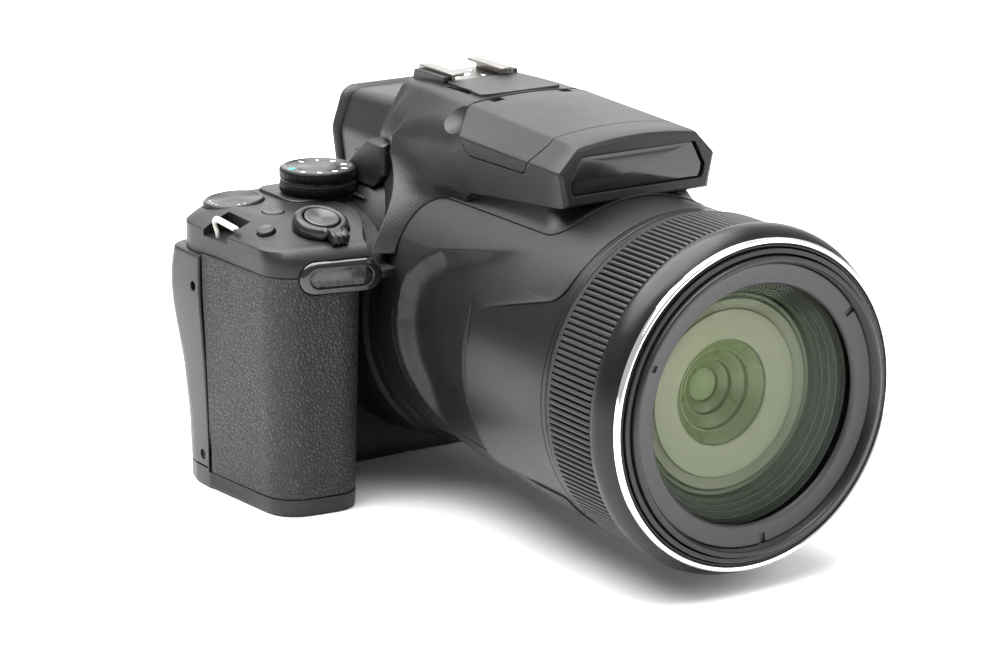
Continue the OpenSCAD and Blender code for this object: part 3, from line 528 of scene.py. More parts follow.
def plain_finish(name, colour, roughness, spread, noise, bump=None, **sockets):
    """One colour whose roughness drifts between two values on a noise (size, detail).

    bump holds the size and detail of its noise, its strength and its height.
    """
    f = Finish(name, colour, roughness, **sockets)
    f.roughness(f.spread(f.noise(*noise), *spread))
    if bump:
        f.bump(f.noise(*bump[:2]), *bump[2:])
    return f.material


def shell_finish():
    """Moulded black plastic with a spark-eroded grain: fine pits over a slow drift of tone."""
    base = tuple(finish().shell)
    f = Finish("shell_plastic", base, 0.42, edge_mm=0.4, specular_ior_level=0.36)
    grain = f.noise(0.5, 3.0, 0.65)
    cloud = f.noise(24.0, 2.0)
    f.colour(f.mix(f.share(cloud), scaled_colour(base, 0.85), scaled_colour(base, 1.15)))
    both = f.math("ADD", f.math("MULTIPLY", grain, 0.6), f.math("MULTIPLY", cloud, 0.4))
    f.roughness(f.spread(both, 0.34, 0.5))
    f.bump(grain, 0.55, 0.16)
    return f.material


def smooth_shell_finish():
    """Smooth black plastic of the panel on the lens barrel."""
    base = tuple(finish().shell)
    f = Finish("smooth_plastic", base, 0.36, edge_mm=0.25, specular_ior_level=0.26)
    cloud = f.noise(18.0, 3.0)
    f.colour(f.mix(f.share(cloud), scaled_colour(base, 0.9), scaled_colour(base, 1.1)))
    f.roughness(f.spread(cloud, 0.27, 0.34))
    f.bump(f.noise(0.3, 2.0), 0.06, 0.05)
    return f.material


def rubber_finish():
    """Grip rubber with a leather grain: domed cells bent by noise, with painted shade darkening the creases between
    them and a painted highlight lightening the domes.
    """
    base, cells_per_metre, bend = tuple(finish().rubber), 900.0, 0.0009
    f = Finish("grip_rubber_grain", base, 0.55, edge_mm=0.3, specular_ior_level=0.36)
    drift = f.node("ShaderNodeTexNoise", {"Vector": f.place, "Scale": cells_per_metre, "Detail": 2.0})
    bent = f.node(
        "ShaderNodeVectorMath",
        {0: drift.outputs["Color"], 1: (bend, bend, bend), 2: f.place},
        operation="MULTIPLY_ADD",
    )
    cells = f.node(
        "ShaderNodeTexVoronoi",
        {"Vector": bent.outputs[0], "Scale": cells_per_metre, "Randomness": 1.0},
        feature="DISTANCE_TO_EDGE",
    )
    dome = f.share(cells.outputs["Distance"], 0.0, 0.28)
    # Painted shade and highlight: the colour darkens into the creases and lightens on the domes
    f.colour(f.mix(dome, scaled_colour(base, 0.45), scaled_colour(base, 1.25)))
    f.roughness(f.spread(dome, 0.62, 0.44, 0.0, 1.0))
    f.bump(f.math("ADD", dome, f.math("MULTIPLY", f.noise(0.4, 2.0), 0.45)), 0.75, 0.34)
    return f.material


def baffle_finish():
    """Dead black of the steps inside the nose, faintly green near the axis."""
    f = Finish("baffle_black", (0.006, 0.0065, 0.006), 0.6, specular_ior_level=0.25)
    grain = f.noise(0.4, 2.0)
    outer = f.share(f.lens_radius(), 0.0292, 0.0296)
    f.colour(f.mix(outer, (0.011, 0.015, 0.007), (0.003, 0.0031, 0.0028)))
    f.roughness(f.spread(grain, 0.5, 0.6))
    f.bump(grain, 0.08, 0.04)
    return f.material


def brushed_finish(name, colour, roughness, streak_mm, spread, dark, light):
    """Steel brushed along the camera: a noise stretched along Y drives its roughness, tone and height."""
    f = Finish(name, colour, roughness, edge_mm=0.2, metallic=1.0)
    stretch = f.node("ShaderNodeMapping", {"Vector": f.place, "Scale": (1.0, 0.05, 1.0)}).outputs[0]
    streak = f.noise(streak_mm, 2.0, 0.6, vector=stretch)
    f.roughness(f.spread(streak, *spread))
    f.colour(f.mix(f.share(streak), dark, light))
    f.bump(streak, 0.1, 0.03)
    return f.material


def pane_finish(name, tint, mirror_tint, noise, haze, mirror_share):
    """Clear pane with a tint, and a hazy mirror share that grows at a slant."""
    f = Finish(name, tint, 0.0)
    clear = f.node("ShaderNodeBsdfTransparent", {"Color": (*tint, 1.0)})
    mirror = f.node(
        "ShaderNodeBsdfGlossy",
        {"Color": (*mirror_tint, 1.0), "Roughness": f.spread(f.noise(*noise), *haze)},
    )
    facing = f.node("ShaderNodeLayerWeight", {"Blend": 0.5}).outputs["Facing"]
    slant = f.spread(facing, *mirror_share, 0.1, 0.8)
    blend = f.node("ShaderNodeMixShader", {0: slant, 1: clear.outputs[0], 2: mirror.outputs[0]})
    f.links.new(blend.outputs[0], f.output.inputs["Surface"])
    f.nodes.remove(f.shader)
    return f.material


def sage_reflection_finish():
    """Coated inner lens group painted with the grey green that its coatings reflect, darker in its outer ring: a
    painted reflection.
    """
    base = tuple(finish().sage_reflection)
    f = Finish("inner_coating_painted_reflection", base, 0.4)
    cloud = f.noise(16.0, 2.0)
    disc = f.mix(f.share(cloud), scaled_colour(base, 0.92), scaled_colour(base, 1.06))
    away = f.lens_radius()
    inner = f.mix(f.share(away, 0.0228, 0.0232), disc, scaled_colour(base, 0.62))
    f.colour(f.mix(f.share(away, 0.0258, 0.0262), inner, (0.03, 0.037, 0.02)))
    f.roughness(f.spread(cloud, 0.34, 0.46))
    return f.material


def tunnel_reflection_finish():
    """Nested inner glass painted with the grey green of its reflections, brightening to a green core on the lens
    axis: a painted reflection.
    """
    f = Finish("inner_glass_painted_reflection", (0.1, 0.13, 0.06), 0.3)
    away = f.lens_radius()
    rings = f.mix(f.share(away, 0.006, 0.0148), (0.085, 0.105, 0.044), (0.11, 0.13, 0.07))
    f.colour(f.mix(f.spread(away, 1.0, 0.0, 0.001, 0.005), rings, (0.12, 0.15, 0.062)))
    f.roughness(f.spread(f.noise(3.0, 2.0), 0.25, 0.38))
    return f.material


RINGS_PER_METRE = 6000.0


def spun_finish(name, place, colour, metallic, low, high):
    """Turned face with fine rings about a vertical axis at a place."""
    f = Finish(name, colour, 0.3, edge_mm=0.15, metallic=metallic, anisotropic=0.75, anisotropic_rotation=0.25)
    away = f.away((place[0], place[1], 0.0), (1.0, 1.0, 0.0))
    rings = f.node(
        "ShaderNodeTexNoise",
        {"W": f.math("MULTIPLY", away, RINGS_PER_METRE), "Scale": 1.0, "Detail": 2.0},
        noise_dimensions="1D",
    ).outputs["Fac"]
    f.roughness(f.spread(rings, low, high))
    tangent = f.node("ShaderNodeTangent", direction_type="RADIAL", axis="Z")
    f.links.new(tangent.outputs[0], f.shader.inputs["Tangent"])
    f.bump(rings, 0.1, 0.03)
    return f.material


def print_finish(name, colour, roughness, spread, noise=(0.3, 2.0)):
    """Plain finish without a bump."""
    return plain_finish(name, colour, roughness, spread, noise)


SPECULAR = {"specular_ior_level": 0.36}
# Finishes by name; those without a function of their own are named here by their numbers
FINISHES = {
    "shell": shell_finish,
    "smooth_shell": smooth_shell_finish,
    "rubber": rubber_finish,
    "baffle": baffle_finish,
    # Painted reflection of the coated inner lens group
    "sage_reflection": sage_reflection_finish,
    # Painted reflection in the nested inner glass
    "tunnel_reflection": tunnel_reflection_finish,
    # Matte rubber of the ring and the eyecup
    "soft_rubber": lambda: plain_finish(
        "soft_rubber", scaled_colour(tuple(finish().rubber), 0.7), 0.48, (0.4, 0.54), (0.3, 2.0), (0.3, 2.0, 0.15, 0.06),
        edge_mm=0.15, **SPECULAR,
    ),
    "gloss": lambda: plain_finish(
        "gloss_black", (0.006, 0.006, 0.0065), 0.14, (0.1, 0.2), (9.0, 3.0), (1.2, 1.0, 0.02, 0.02),
        edge_mm=0.25, coat_weight=0.25, coat_roughness=0.06,
    ),
    # Bezel round the lens and the teeth of the mode dial
    "half_gloss": lambda: plain_finish(
        "half_gloss_black", (0.004, 0.004, 0.0043), 0.3, (0.27, 0.35), (7.0, 3.0), (0.35, 2.0, 0.05, 0.04),
        edge_mm=0.25, specular_ior_level=0.28,
    ),
    # Barrels and small controls
    "satin": lambda: plain_finish(
        "satin_black", (0.009, 0.009, 0.0095), 0.32, (0.26, 0.38), (0.25, 2.0), (0.25, 2.0, 0.08, 0.04),
        edge_mm=0.2, **SPECULAR,
    ),
    # Ring that holds the front glass
    "ring_grey": lambda: plain_finish(
        "anodised_grey", (0.02, 0.0203, 0.0225), 0.5, (0.42, 0.56), (0.2, 2.0), (0.2, 2.0, 0.1, 0.04), edge_mm=0.2
    ),
    "chrome": lambda: plain_finish("bright_trim", (0.9, 0.9, 0.9), 0.06, (0.04, 0.09), (5.0, 2.0), metallic=1.0),
    # Bars for the strap
    "lug": lambda: plain_finish(
        "pale_plating", (0.42, 0.41, 0.38), 0.4, (0.34, 0.46), (0.6, 2.0), (0.6, 2.0, 0.06, 0.03), metallic=0.25
    ),
    "steel": lambda: brushed_finish(
        "brushed_steel", (0.66, 0.64, 0.6), 0.28, 0.12, (0.2, 0.38), (0.6, 0.58, 0.54), (0.72, 0.7, 0.66)
    ),
    "shoe_steel": lambda: brushed_finish(
        "shoe_steel", (0.2, 0.19, 0.18), 0.34, 0.14, (0.26, 0.42), (0.17, 0.16, 0.15), (0.25, 0.24, 0.225)
    ),
    # Coated front glass with a faint green cast
    "glass": lambda: pane_finish(
        "coated_glass", (0.94, 0.965, 0.9), (0.75, 0.85, 0.78), (30.0, 1.0), (0.0, 0.03), (0.004, 0.03)
    ),
    "clear": lambda: pane_finish(
        "clear_window", (0.9, 0.91, 0.92), (0.9, 0.9, 0.9), (4.0, 2.0), (0.02, 0.08), (0.03, 0.3)
    ),
    # Dark display under a hard cover
    "screen": lambda: plain_finish(
        "display", (0.006, 0.007, 0.009), 0.06, (0.04, 0.1), (12.0, 2.0), coat_weight=0.6, coat_roughness=0.03
    ),
    "mark": lambda: print_finish("white_print", tuple(finish().mark), 0.5, (0.42, 0.58)),
    "green_mark": lambda: print_finish("green_print", (0.02, 0.5, 0.42), 0.45, (0.4, 0.52)),
    "red": lambda: print_finish("red_plastic", (0.16, 0.012, 0.012), 0.4, (0.32, 0.46)),
    "floor": lambda: print_finish("pale_floor", (0.92, 0.92, 0.92), 0.55, (0.5, 0.6), (40.0, 2.0)),
    "board": lambda: print_finish("board_green", (0.02, 0.09, 0.045), 0.5, (0.4, 0.6), (2.0, 2.0)),
    "reflector": lambda: print_finish("lamp_reflector", (0.09, 0.09, 0.095), 0.4, (0.34, 0.46), (1.0, 2.0)),
    "spun_mode": lambda: spun_finish("turned_mode_dial", MODE, (0.012, 0.012, 0.013), 0.0, 0.32, 0.46),
    "spun_command": lambda: spun_finish("turned_command_dial", COMMAND, (0.045, 0.045, 0.047), 0.8, 0.34, 0.5),
    "spun_shutter": lambda: spun_finish("turned_shutter", SHUTTER, (0.06, 0.06, 0.063), 0.8, 0.3, 0.44),
    "spun_power": lambda: spun_finish("turned_power_button", POWER, (0.03, 0.03, 0.032), 0.5, 0.34, 0.5),
}


SLOT_FINISH = {
    "shell": "shell",
    "grip": "soft_rubber",
    "gloss": "gloss",
    "barrel": "satin",
    "trim": "chrome",
    "steel": "steel",
    "glass": "clear",
    "red": "red",
    "board": "board",
}
NODE_SLOT = {row["node"]: row["material_slot"] for row in frame["record"]["subparts"]}
NODE_BODY = {
    node: body for body, nodes in frame["record"]["behaviour"]["bodies"].items() for node in nodes
}


def dress(obj, node=None, beside=None):
    """Puts a finished piece in place of a CAD node, or beside one, on its body."""
    if node:
        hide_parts(node)
    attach(obj, NODE_BODY[node or beside])


def crisp_shading():
    """Node group that joins loose triangles and shades them smooth up to a sharp angle."""
    name = "crisp_shading"
    if name in bpy.data.node_groups:
        return bpy.data.node_groups[name]
    group = bpy.data.node_groups.new(name, "GeometryNodeTree")
    group.interface.new_socket("Geometry", in_out="INPUT", socket_type="NodeSocketGeometry")
    group.interface.new_socket("Geometry", in_out="OUTPUT", socket_type="NodeSocketGeometry")
    nodes, links = group.nodes, group.links
    start, end = nodes.new("NodeGroupInput"), nodes.new("NodeGroupOutput")
    merge = nodes.new("GeometryNodeMergeByDistance")
    merge.inputs["Distance"].default_value = 2e-6
    angle = nodes.new("GeometryNodeInputMeshEdgeAngle")
    sharp = nodes.new("FunctionNodeCompare")
    sharp.operation = "GREATER_THAN"
    sharp.inputs[1].default_value = math.radians(32)
    faces = nodes.new("GeometryNodeSetShadeSmooth")
    edges = nodes.new("GeometryNodeSetShadeSmooth")
    edges.domain = "EDGE"
    edges.inputs["Shade Smooth"].default_value = False
    links.new(start.outputs[0], merge.inputs["Geometry"])
    links.new(merge.outputs[0], faces.inputs["Geometry"])
    links.new(faces.outputs[0], edges.inputs["Geometry"])
    links.new(angle.outputs["Unsigned Angle"], sharp.inputs[0])
    links.new(sharp.outputs[0], edges.inputs["Selection"])
    links.new(edges.outputs[0], end.inputs[0])
    return group


# Camera solved from the photograph's lens circles, about the middle of the lens nose: degrees and millimetres
CAMERA_AZIMUTH, CAMERA_ELEVATION, CAMERA_ROLL = -33.55, 15.98, 0.27
CAMERA_ACROSS, CAMERA_UP, CAMERA_DISTANCE = 67.98, -19.54, 882.5
CAMERA_LENS, CAMERA_SENSOR = 122.4, 36.0
# Softboxes: name, place, target and side in metres, and power in watts
SOFTBOXES = (
    ("overhead", (-0.25, 0.15, 1.3), (0.0, 0.0, 0.05), 1.6, 82.0),
    ("backdrop", (1.0, 1.5, 1.05), (0.0, 0.0, 0.2), 2.0, 22.0),
    ("fill", (0.8, -0.9, 0.55), (0.05, -0.15, 0.0), 1.0, 8.0),
)
FLOOR_REACH, FLOOR_DROP = 3000.0, 0.05
WORLD_LIGHT = 0.52


class BRIDGECAM_OT_stage(bpy.types.Operator):
    """Sets the pale floor, the soft studio light and the camera"""

    bl_idname = "bridgecam.stage"
    bl_label = "Studio"

    def execute(self, context):
        scene = context.scene
        scene.view_settings.view_transform = "Standard"
        self.floor()
        world = bpy.data.worlds.new("studio")
        scene.world = world
        world.use_nodes = True
        background = world.node_tree.nodes["Background"]
        background.inputs["Color"].default_value = (1, 1, 1, 1)
        background.inputs["Strength"].default_value = WORLD_LIGHT
        for row in SOFTBOXES:
            self.softbox(scene, *row)
        self.camera(scene)
        return {"FINISHED"}

    def floor(self):
        """Flat pale sheet just under the part."""
        side = np.linspace(-FLOOR_REACH, FLOOR_REACH, 3)
        x, y = np.meshgrid(side, side, indexing="ij")
        sheet = Patch(np.stack([x, y, np.full_like(x, -FLOOR_DROP)], -1), wrap_columns=False)
        floor = make("floor", [sheet], "floor")

    def softbox(self, scene, name, place, target, size, power):
        """Square soft light at a place that faces a target."""
        light = bpy.data.lights.new(name, "AREA")
        light.shape = "SQUARE"
        light.size = size
        light.energy = power
        obj = bpy.data.objects.new(name, light)
        scene.collection.objects.link(obj)
        back = np.array(place) - np.array(target)
        obj.matrix_world = look_matrix(np.array(place), back / np.linalg.norm(back), 0.0)

    def camera(self, scene):
        """Camera at the photograph's place, looking past the lens nose."""
        azimuth, height = math.radians(CAMERA_AZIMUTH), math.radians(CAMERA_ELEVATION)
        level = math.cos(height)
        back = np.array([math.sin(azimuth) * level, -math.cos(azimuth) * level, math.sin(height)])
        turn = look_matrix(np.zeros(3), back, CAMERA_ROLL)
        right, up = np.array(turn.col[0])[:3], np.array(turn.col[1])[:3]
        nose = np.array([0.0, -NOSE_REACH, LENS_HEIGHT])
        place = nose - CAMERA_ACROSS * right - CAMERA_UP * up + CAMERA_DISTANCE * back
        data = bpy.data.cameras.new("camera")
        data.sensor_fit = "HORIZONTAL"
        data.sensor_width = CAMERA_SENSOR
        data.lens = CAMERA_LENS
        data.clip_start = 0.05
        data.clip_end = 20.0
        obj = bpy.data.objects.new("camera", data)
        scene.collection.objects.link(obj)
        obj.matrix_world = look_matrix(place * MM, back, CAMERA_ROLL)
        scene.camera = obj


def look_matrix(place, back, roll):
    """Matrix of a camera or light at a place, with its back along a direction and a roll in degrees."""
    right = np.cross([0.0, 0.0, 1.0], back)
    right = right / np.linalg.norm(right)
    up = np.cross(back, right)
    c, s = math.cos(math.radians(roll)), math.sin(math.radians(roll))
    right, up = c * right + s * up, c * up - s * right
    columns = np.stack([right, up, back, place], -1)
    return Matrix([*columns.tolist(), [0, 0, 0, 1]])


# Edge of the finger relief: depth, and angle in degrees from +X
RELIEF_EDGE = np.array(
    [
        (60, 132), (74, 138), (86, 141.6), (97, 144.8), (104.5, 151.5), (108.5, 157.8), (110, 165),
        (110.5, 173.6), (109.5, 183.3), (108.5, 191.5), (107, 199), (105.5, 205), (102.5, 213), (94, 220),
    ]
)
# Rear edge of the sleeve: angle in degrees, depth and corner radius
SEAM = np.array(
    [
        (100, 38, 0.1), (145.5, 38, 6.5), (158.5, 71.8, 5.5), (217.5, 72, 2.0),
        (219.8, 38, 2.0), (300, 38, 0.1), (300, 20, 0.1), (100, 20, 0.1),
    ]
)
# Taper of the barrel's underside: angle in degrees and loss of radius
UNDER_TAPER = np.array(
    [
        (145, 0), (158, 1), (166, 1.8), (174, 2.2), (184, 2.5),
        (200, 3.2), (215, 3.8), (243, 4.8), (262, 3), (285, 0),
    ]
)


class BRIDGECAM_OT_lens_housing(bpy.types.Operator):
    """Shapes the fixed lens barrel with its finger relief and the smooth sleeve set into it"""

    bl_idname = "bridgecam.lens_housing"
    bl_label = "Lens housing"

    def seam(self, angle):
        """Depth of the sleeve's rear edge at angles: a band all round that reaches back as a panel."""
        arc = sizes().barrel_radius / MM * math.radians(1)
        path = rounded(SEAM * [arc, 1, 1], 12).reshape(8, -1, 2)[1:5].reshape(-1, 2)
        return np.interp(np.degrees(angle) * arc, path[:, 0], path[:, 1])

    def radius(self, angle, depth):
        """Barrel radius less a taper underneath and a relief, plus a lip along the sleeve and a far pad."""
        barrel = sizes().barrel_radius / MM
        arc = math.radians(1) * barrel
        degrees = np.degrees(angle)
        taper = np.interp(degrees, *UNDER_TAPER.T) * np.interp(depth, [50, 75, 90, 100, 108], [0, 0.4, 0.55, 0.8, 1])
        r = barrel - taper
        below = (degrees - np.interp(depth, *RELIEF_EDGE[:8].T)) * arc
        ahead = np.interp(degrees, *RELIEF_EDGE[:, ::-1].T) - depth
        inside = np.maximum(below, 0.0) * np.maximum(ahead, 0.0) / np.maximum(np.hypot(below, ahead), 1e-6)
        signed = inside - np.hypot(np.minimum(below, 0), np.minimum(ahead, 0))
        soft = 0.5 * (signed + np.sqrt(signed**2 + 0.9**2))
        sink = sizes().relief_depth / MM * smooth(60, 95, depth) * (1 - smooth(196, 224, degrees))
        r = r - sink * (1 - np.exp(-soft / 1.6)) * (signed > -3)
        seam = self.seam(angle)
        slope = np.gradient(seam, axis=-1) / np.gradient(angle, axis=-1) / barrel
        lip = np.exp(-np.maximum(depth - seam, 0) / np.sqrt(1 + slope**2) / 1.3)
        r = r + 0.5 * lip * smooth(128, 146, degrees)
        lift = 46 / np.maximum(np.cos(angle), 0.2)
        height = np.abs(barrel * np.sin(angle))
        pad = (np.cos(angle) > 0.5) * smooth(12.8, 11.6, height) * smooth(55.2, 57, depth) * smooth(104, 102.2, depth)
        return np.where(pad > 0, np.maximum(r, r * (1 - pad) + lift * pad), r)

    def execute(self, context):
        fine = [(0, 124, 1.0), (124, 166, 0.3), (166, 214, 0.8), (214, 222, 0.16), (222, 360, 1.0)]
        angle = np.radians(np.concatenate([np.arange(*run) for run in fine]))[None]
        start = self.seam(angle[0])[None] + 0.16
        run = np.concatenate([[0.0, 0.004, 0.012, 0.03], np.linspace(0.06, 1, 26)])[:, None] ** 1.3
        behind = np.concatenate([np.linspace(76.6, 99, 34), np.linspace(99.4, 114, 44), np.linspace(114.8, 120.5, 8)])
        flat = np.ones_like(angle)
        depth = np.vstack([start + (76 - start) * run, behind[:, None] * flat])
        outer = self.radius(angle, depth)
        neck, bore, tail_bore = 43.9 * flat, 42.5 * flat, 37.8 * flat
        head = [bore, neck, neck, neck + 0.2, outer[:1] - 0.25]
        tail = [outer[-1:] - 0.15, outer[-1:] - 0.6, tail_bore, tail_bore, bore]
        ends = [6 * flat, 6 * flat, 33.4 * flat, start - 0.02, start - 0.02]
        rear = [120.85 * flat, 121 * flat, 121 * flat, 78 * flat, 78 * flat]
        rows = about_lens(np.vstack([*head, outer, *tail]), angle, np.vstack([*ends, depth, *rear]))
        housing = make("lens_housing_skin", [Patch(rows, wrap_rows=True)], "shell", 34)
        pins = [side_pin(d, LENS_HEIGHT, radius, x, 60) for d, radius, x in ((93, 4.3, 43.6), (70, 1.6, 43.4))]
        carve(housing, pins, sharp=34)
        dress(housing, "lens_housing")
        self.sleeve(angle, start - 0.32)
        return {"FINISHED"}

    def sleeve(self, angle, end):
        """Smooth sleeve: rows run from the control ring to its rear edge, with a fine groove near the ring."""
        flat = np.ones_like(angle)
        front = np.array([33.5, 33.7, 35.2, 35.45, 35.7])[:, None] * flat
        share = np.concatenate([np.linspace(0.02, 0.98, 30), [0.985]])[:, None]
        depth = np.vstack([front, 35.8 + (end - 0.2 - 35.8) * share, end - 0.2, end, end, front[:1]])
        change = np.array([-0.25, 0, 0, -0.22, 0, *np.zeros(31), 0, -0.2, -1.05, -1.05])[:, None]
        rows = about_lens(sizes().barrel_radius / MM + 0.05 + change * flat, angle, depth)
        dress(make("lens_sleeve", [Patch(rows, wrap_rows=True)], "smooth_shell", 34), beside="lens_housing")


# Turned lens pieces: radius and depth
BEZEL = [
    (42.62, 2.4), (42.75, 2.25), (43.0, 2.25), (43.18, 2.4), (43.18, 3.3), (44.7, 3.3), (44.95, 3.45),
    (46.2, 5.6), (46.9, 6.9), (47.3, 8.0), (47.45, 8.8), (47.5, 9.4), (47.45, 10.1), (47.25, 10.6), (46.7, 11.3),
    (46.5, 11.4), (44.05, 11.4), (44.05, 5.9), (42.62, 5.9),
]
OUTER_BARREL = [
    (40.85, 1.7), (41.0, 1.45), (42.0, 1.45), (42.25, 1.7), (42.25, 4.6), (42.1, 4.8), (42.1, 5.2),
    (42.25, 5.4), (42.25, 74.9), (40.85, 74.9),
]
NOSE_LIP = [
    (40.45, 72.9), (40.45, 3.1), (40.3, 2.95), (40.3, 2.55), (40.45, 2.4), (40.45, 0.55), (40.3, 0.2),
    (40.0, 0.0), (39.4, 0.0), (39.1, 0.12),
]
BAFFLES = [
    (38.7, 4.0), (35.6, 4.0), (35.6, 7.0), (33.2, 7.1), (33.2, 8.6), (31.9, 8.8), (31.9, 10.2), (30.6, 10.4),
    (30.6, 11.8), (29.3, 12.0), (29.3, 13.4), (28.1, 13.6), (28.1, 20.6), (28.4, 21.0), (38.8, 21.0), (38.8, 72.9),
]
# Painted highlights: lighter beads at the baffle steps' edges stand in for the light that these edges catch
BAFFLE_EDGE_HIGHLIGHTS = [(29.3, 11.95), (30.6, 10.35), (31.9, 8.75), (33.2, 7.05)]
GLASS_RING = [
    (38.4, 3.95), (38.4, 2.55), (38.1, 2.3), (37.8, 2.3), (37.6, 2.45), (33.9, 2.75), (33.4, 2.8),
    (33.1, 2.95), (32.6, 3.5), (32.5, 3.95),
]
VARIATOR_CELL = [
    (14.4, 33.9), (14.4, 17.2), (14.6, 16.95), (14.9, 16.85), (16.0, 16.7), (20.0, 16.2), (22.6, 15.85),
    (22.85, 15.9), (22.95, 16.2), (23.1, 16.3), (23.3, 16.1), (25.8, 15.2), (26.1, 15.3), (26.3, 15.6),
    (26.6, 15.7), (27.4, 15.3), (27.5, 15.5), (27.5, 21.4), (38.5, 23.4), (38.5, 33.9),
]
VARIATOR_RINGS = [
    (0.0, 26.6), (2.0, 26.5), (4.4, 26.0), (4.7, 25.4), (4.9, 25.2), (7.2, 24.2), (7.5, 23.3), (7.7, 23.05),
    (8.0, 23.1), (10.6, 21.3), (10.9, 20.4), (11.1, 20.15), (11.4, 20.2), (13.6, 18.2), (14.25, 17.6),
    (14.25, 31.0), (0.0, 31.0),
]


class BRIDGECAM_OT_lens_front(bpy.types.Operator):
    """Turns the control ring, the front bezel and the bright ring"""

    bl_idname = "bridgecam.lens_front"
    bl_label = "Lens front"

    def execute(self, context):
        ribs = sizes().ring_ribs
        angle = around(ribs * 10)
        phase = np.abs((angle * ribs / (2 * np.pi)) % 1 - 0.5) * 2
        rib = np.sqrt(np.clip(1 - (phase / 0.74) ** 4, 0, 1))
        depth = np.array([11.7, 11.75, 12.0, 12.5, 14, 21, 29, 30.3, 30.8, 31.05, 31.1])
        ends = np.sqrt(np.clip(1 - (np.abs(depth - 21.4) / 9.7) ** 24, 0, 1))
        rest = np.array([(45.6, 31.15), (45.6, 32.8), (45.3, 33.1), (44.25, 33.1), (44.25, 11.7)])
        r = np.vstack([45.0 + 1.3 * rib * ends[:, None], rest[:, :1] * np.ones_like(angle)])
        d = np.concatenate([depth, rest[:, 1]])[:, None]
        ring = Patch(about_lens(r, angle, d), wrap_rows=True)
        dress(make("control_ring_ribs", [ring], "soft_rubber", 50), "control_ring")
        dress(make("front_bezel_skin", [turned(BEZEL)], "half_gloss", 40), "front_bezel")
        a = np.linspace(np.pi * 1.06, -0.06 * np.pi, 9)
        arc = np.stack([44.1 + 0.78 * np.cos(a), 2.55 - 0.85 * np.sin(a)], -1)
        bright = turned([(43.32, 3.25), *arc, (44.88, 3.25)])
        dress(make("bright_ring", [bright], "chrome", 60), "chrome_ring")
        return {"FINISHED"}


class BRIDGECAM_OT_zoom_barrels(bpy.types.Operator):
    """Turns the two sliding barrels, the filter thread and the ring that holds the front glass"""

    bl_idname = "bridgecam.zoom_barrels"
    bl_label = "Zoom barrels"

    def execute(self, context):
        dress(make("outer_barrel_skin", [turned(OUTER_BARREL)], "satin"), "outer_zoom_barrel")
        turns = np.arange(5)[:, None] * 0.72 + 0.55
        thread = np.stack([np.tile([38.85, 38.55, 38.55, 38.85], (5, 1)), turns + [0.0, 0.24, 0.36, 0.6]], -1)
        nose = make("nose_barrel_skin", [turned([*NOSE_LIP, *thread.reshape(-1, 2), *BAFFLES])], "satin")
        paint(nose, "baffle", lambda points: from_axis(points) < 36)
        dress(nose, "inner_zoom_barrel")
        # Painted highlights: thin grey beads round the baffle steps' edges stand in for their lit edges
        a = around(8)
        highlight_bead = 0.13 * np.stack([np.cos(a), np.sin(a)], -1)
        edges = make("baffle_edge_highlights", [turned(highlight_bead + edge) for edge in BAFFLE_EDGE_HIGHLIGHTS], "ring_grey", 60)
        dress(edges, beside="inner_zoom_barrel")
        ring = make("glass_ring", [turned(GLASS_RING)], "ring_grey")
        carve(ring, [self.notch(t) for t in (35.0, 155.0, 275.0)])
        dress(ring, "retaining_ring")
        return {"FINISHED"}

    def notch(self, degrees):
        """Spanner notch across the outer part of the ring."""
        t = math.radians(degrees)
        out = np.array([math.cos(t), 0, math.sin(t)])
        side = np.array([-math.sin(t), 0, math.cos(t)])
        square = np.array([[-1, 35.6], [1, 35.6], [1, 39.5], [-1, 39.5]])
        flat = square[:, :1] * 0.9 * side + square[:, 1:] * out + (0, 0, LENS_HEIGHT)
        return tool(np.stack([flat + (0, deep(d), 0) for d in (1.5, 3.1)]))


class BRIDGECAM_OT_glass(bpy.types.Operator):
    """Grinds the front glass and the nested lens group behind it"""

    bl_idname = "bridgecam.glass"
    bl_label = "Glass"

    def execute(self, context):
        bow = 150
        r = np.linspace(0, 35.3, 30)
        face = np.stack([r, 0.9 + bow - np.sqrt(bow**2 - r**2)], -1)
        dress(make("front_glass", [turned([*face, *(face[::-1] + (0, 1.3))], 160)], "glass", 50), "front_element")
        # Painted reflection: the variator cell's sage colour stands in for its coatings' reflection
        dress(make("variator_cell", [turned(VARIATOR_CELL)], "sage_reflection"), "variator_frame")
        # Painted reflection on the nested inner glass: grey green with a brighter core on the axis
        dress(make("variator_rings", [turned(VARIATOR_RINGS, 160)], "tunnel_reflection"), "variator_lens")
        return {"FINISHED"}


# Stations of the hump: depth, then half width and height of roof, side crease, waist and foot
HUMP = np.array(
    [
        (56.2, 19.0, 111.0, 24.5, 105.0, 23.5, 100.8, 22.5, 96.6),
        (57.0, 19.4, 111.9, 25.7, 105.4, 24.6, 100.7, 23.8, 96.0),
        (58.4, 19.5, 112.2, 26.1, 105.6, 25.1, 100.6, 24.3, 95.7),
        (90.0, 19.3, 113.4, 26.8, 106.6, 26.4, 99.8, 26.0, 93.0),
        (98.0, 19.2, 113.7, 27.1, 107.0, 26.9, 99.6, 26.6, 92.2),
        (106.0, 19.0, 114.1, 27.3, 107.3, 27.2, 97.0, 25.4, 86.0),
        (110.0, 18.9, 114.3, 27.4, 107.3, 27.2, 92.0, 25.0, 73.0),
        (120.0, 18.0, 114.7, 27.2, 106.5, 27.0, 91.0, 25.0, 73.0),
        (128.0, 17.5, 114.8, 26.8, 105.0, 27.0, 91.0, 25.0, 73.0),
        (138.0, 16.5, 114.8, 26.3, 103.5, 27.0, 91.0, 25.0, 73.0),
        (151.0, 14.5, 114.0, 24.0, 101.0, 25.6, 91.0, 28.8, 73.0),
    ]
)
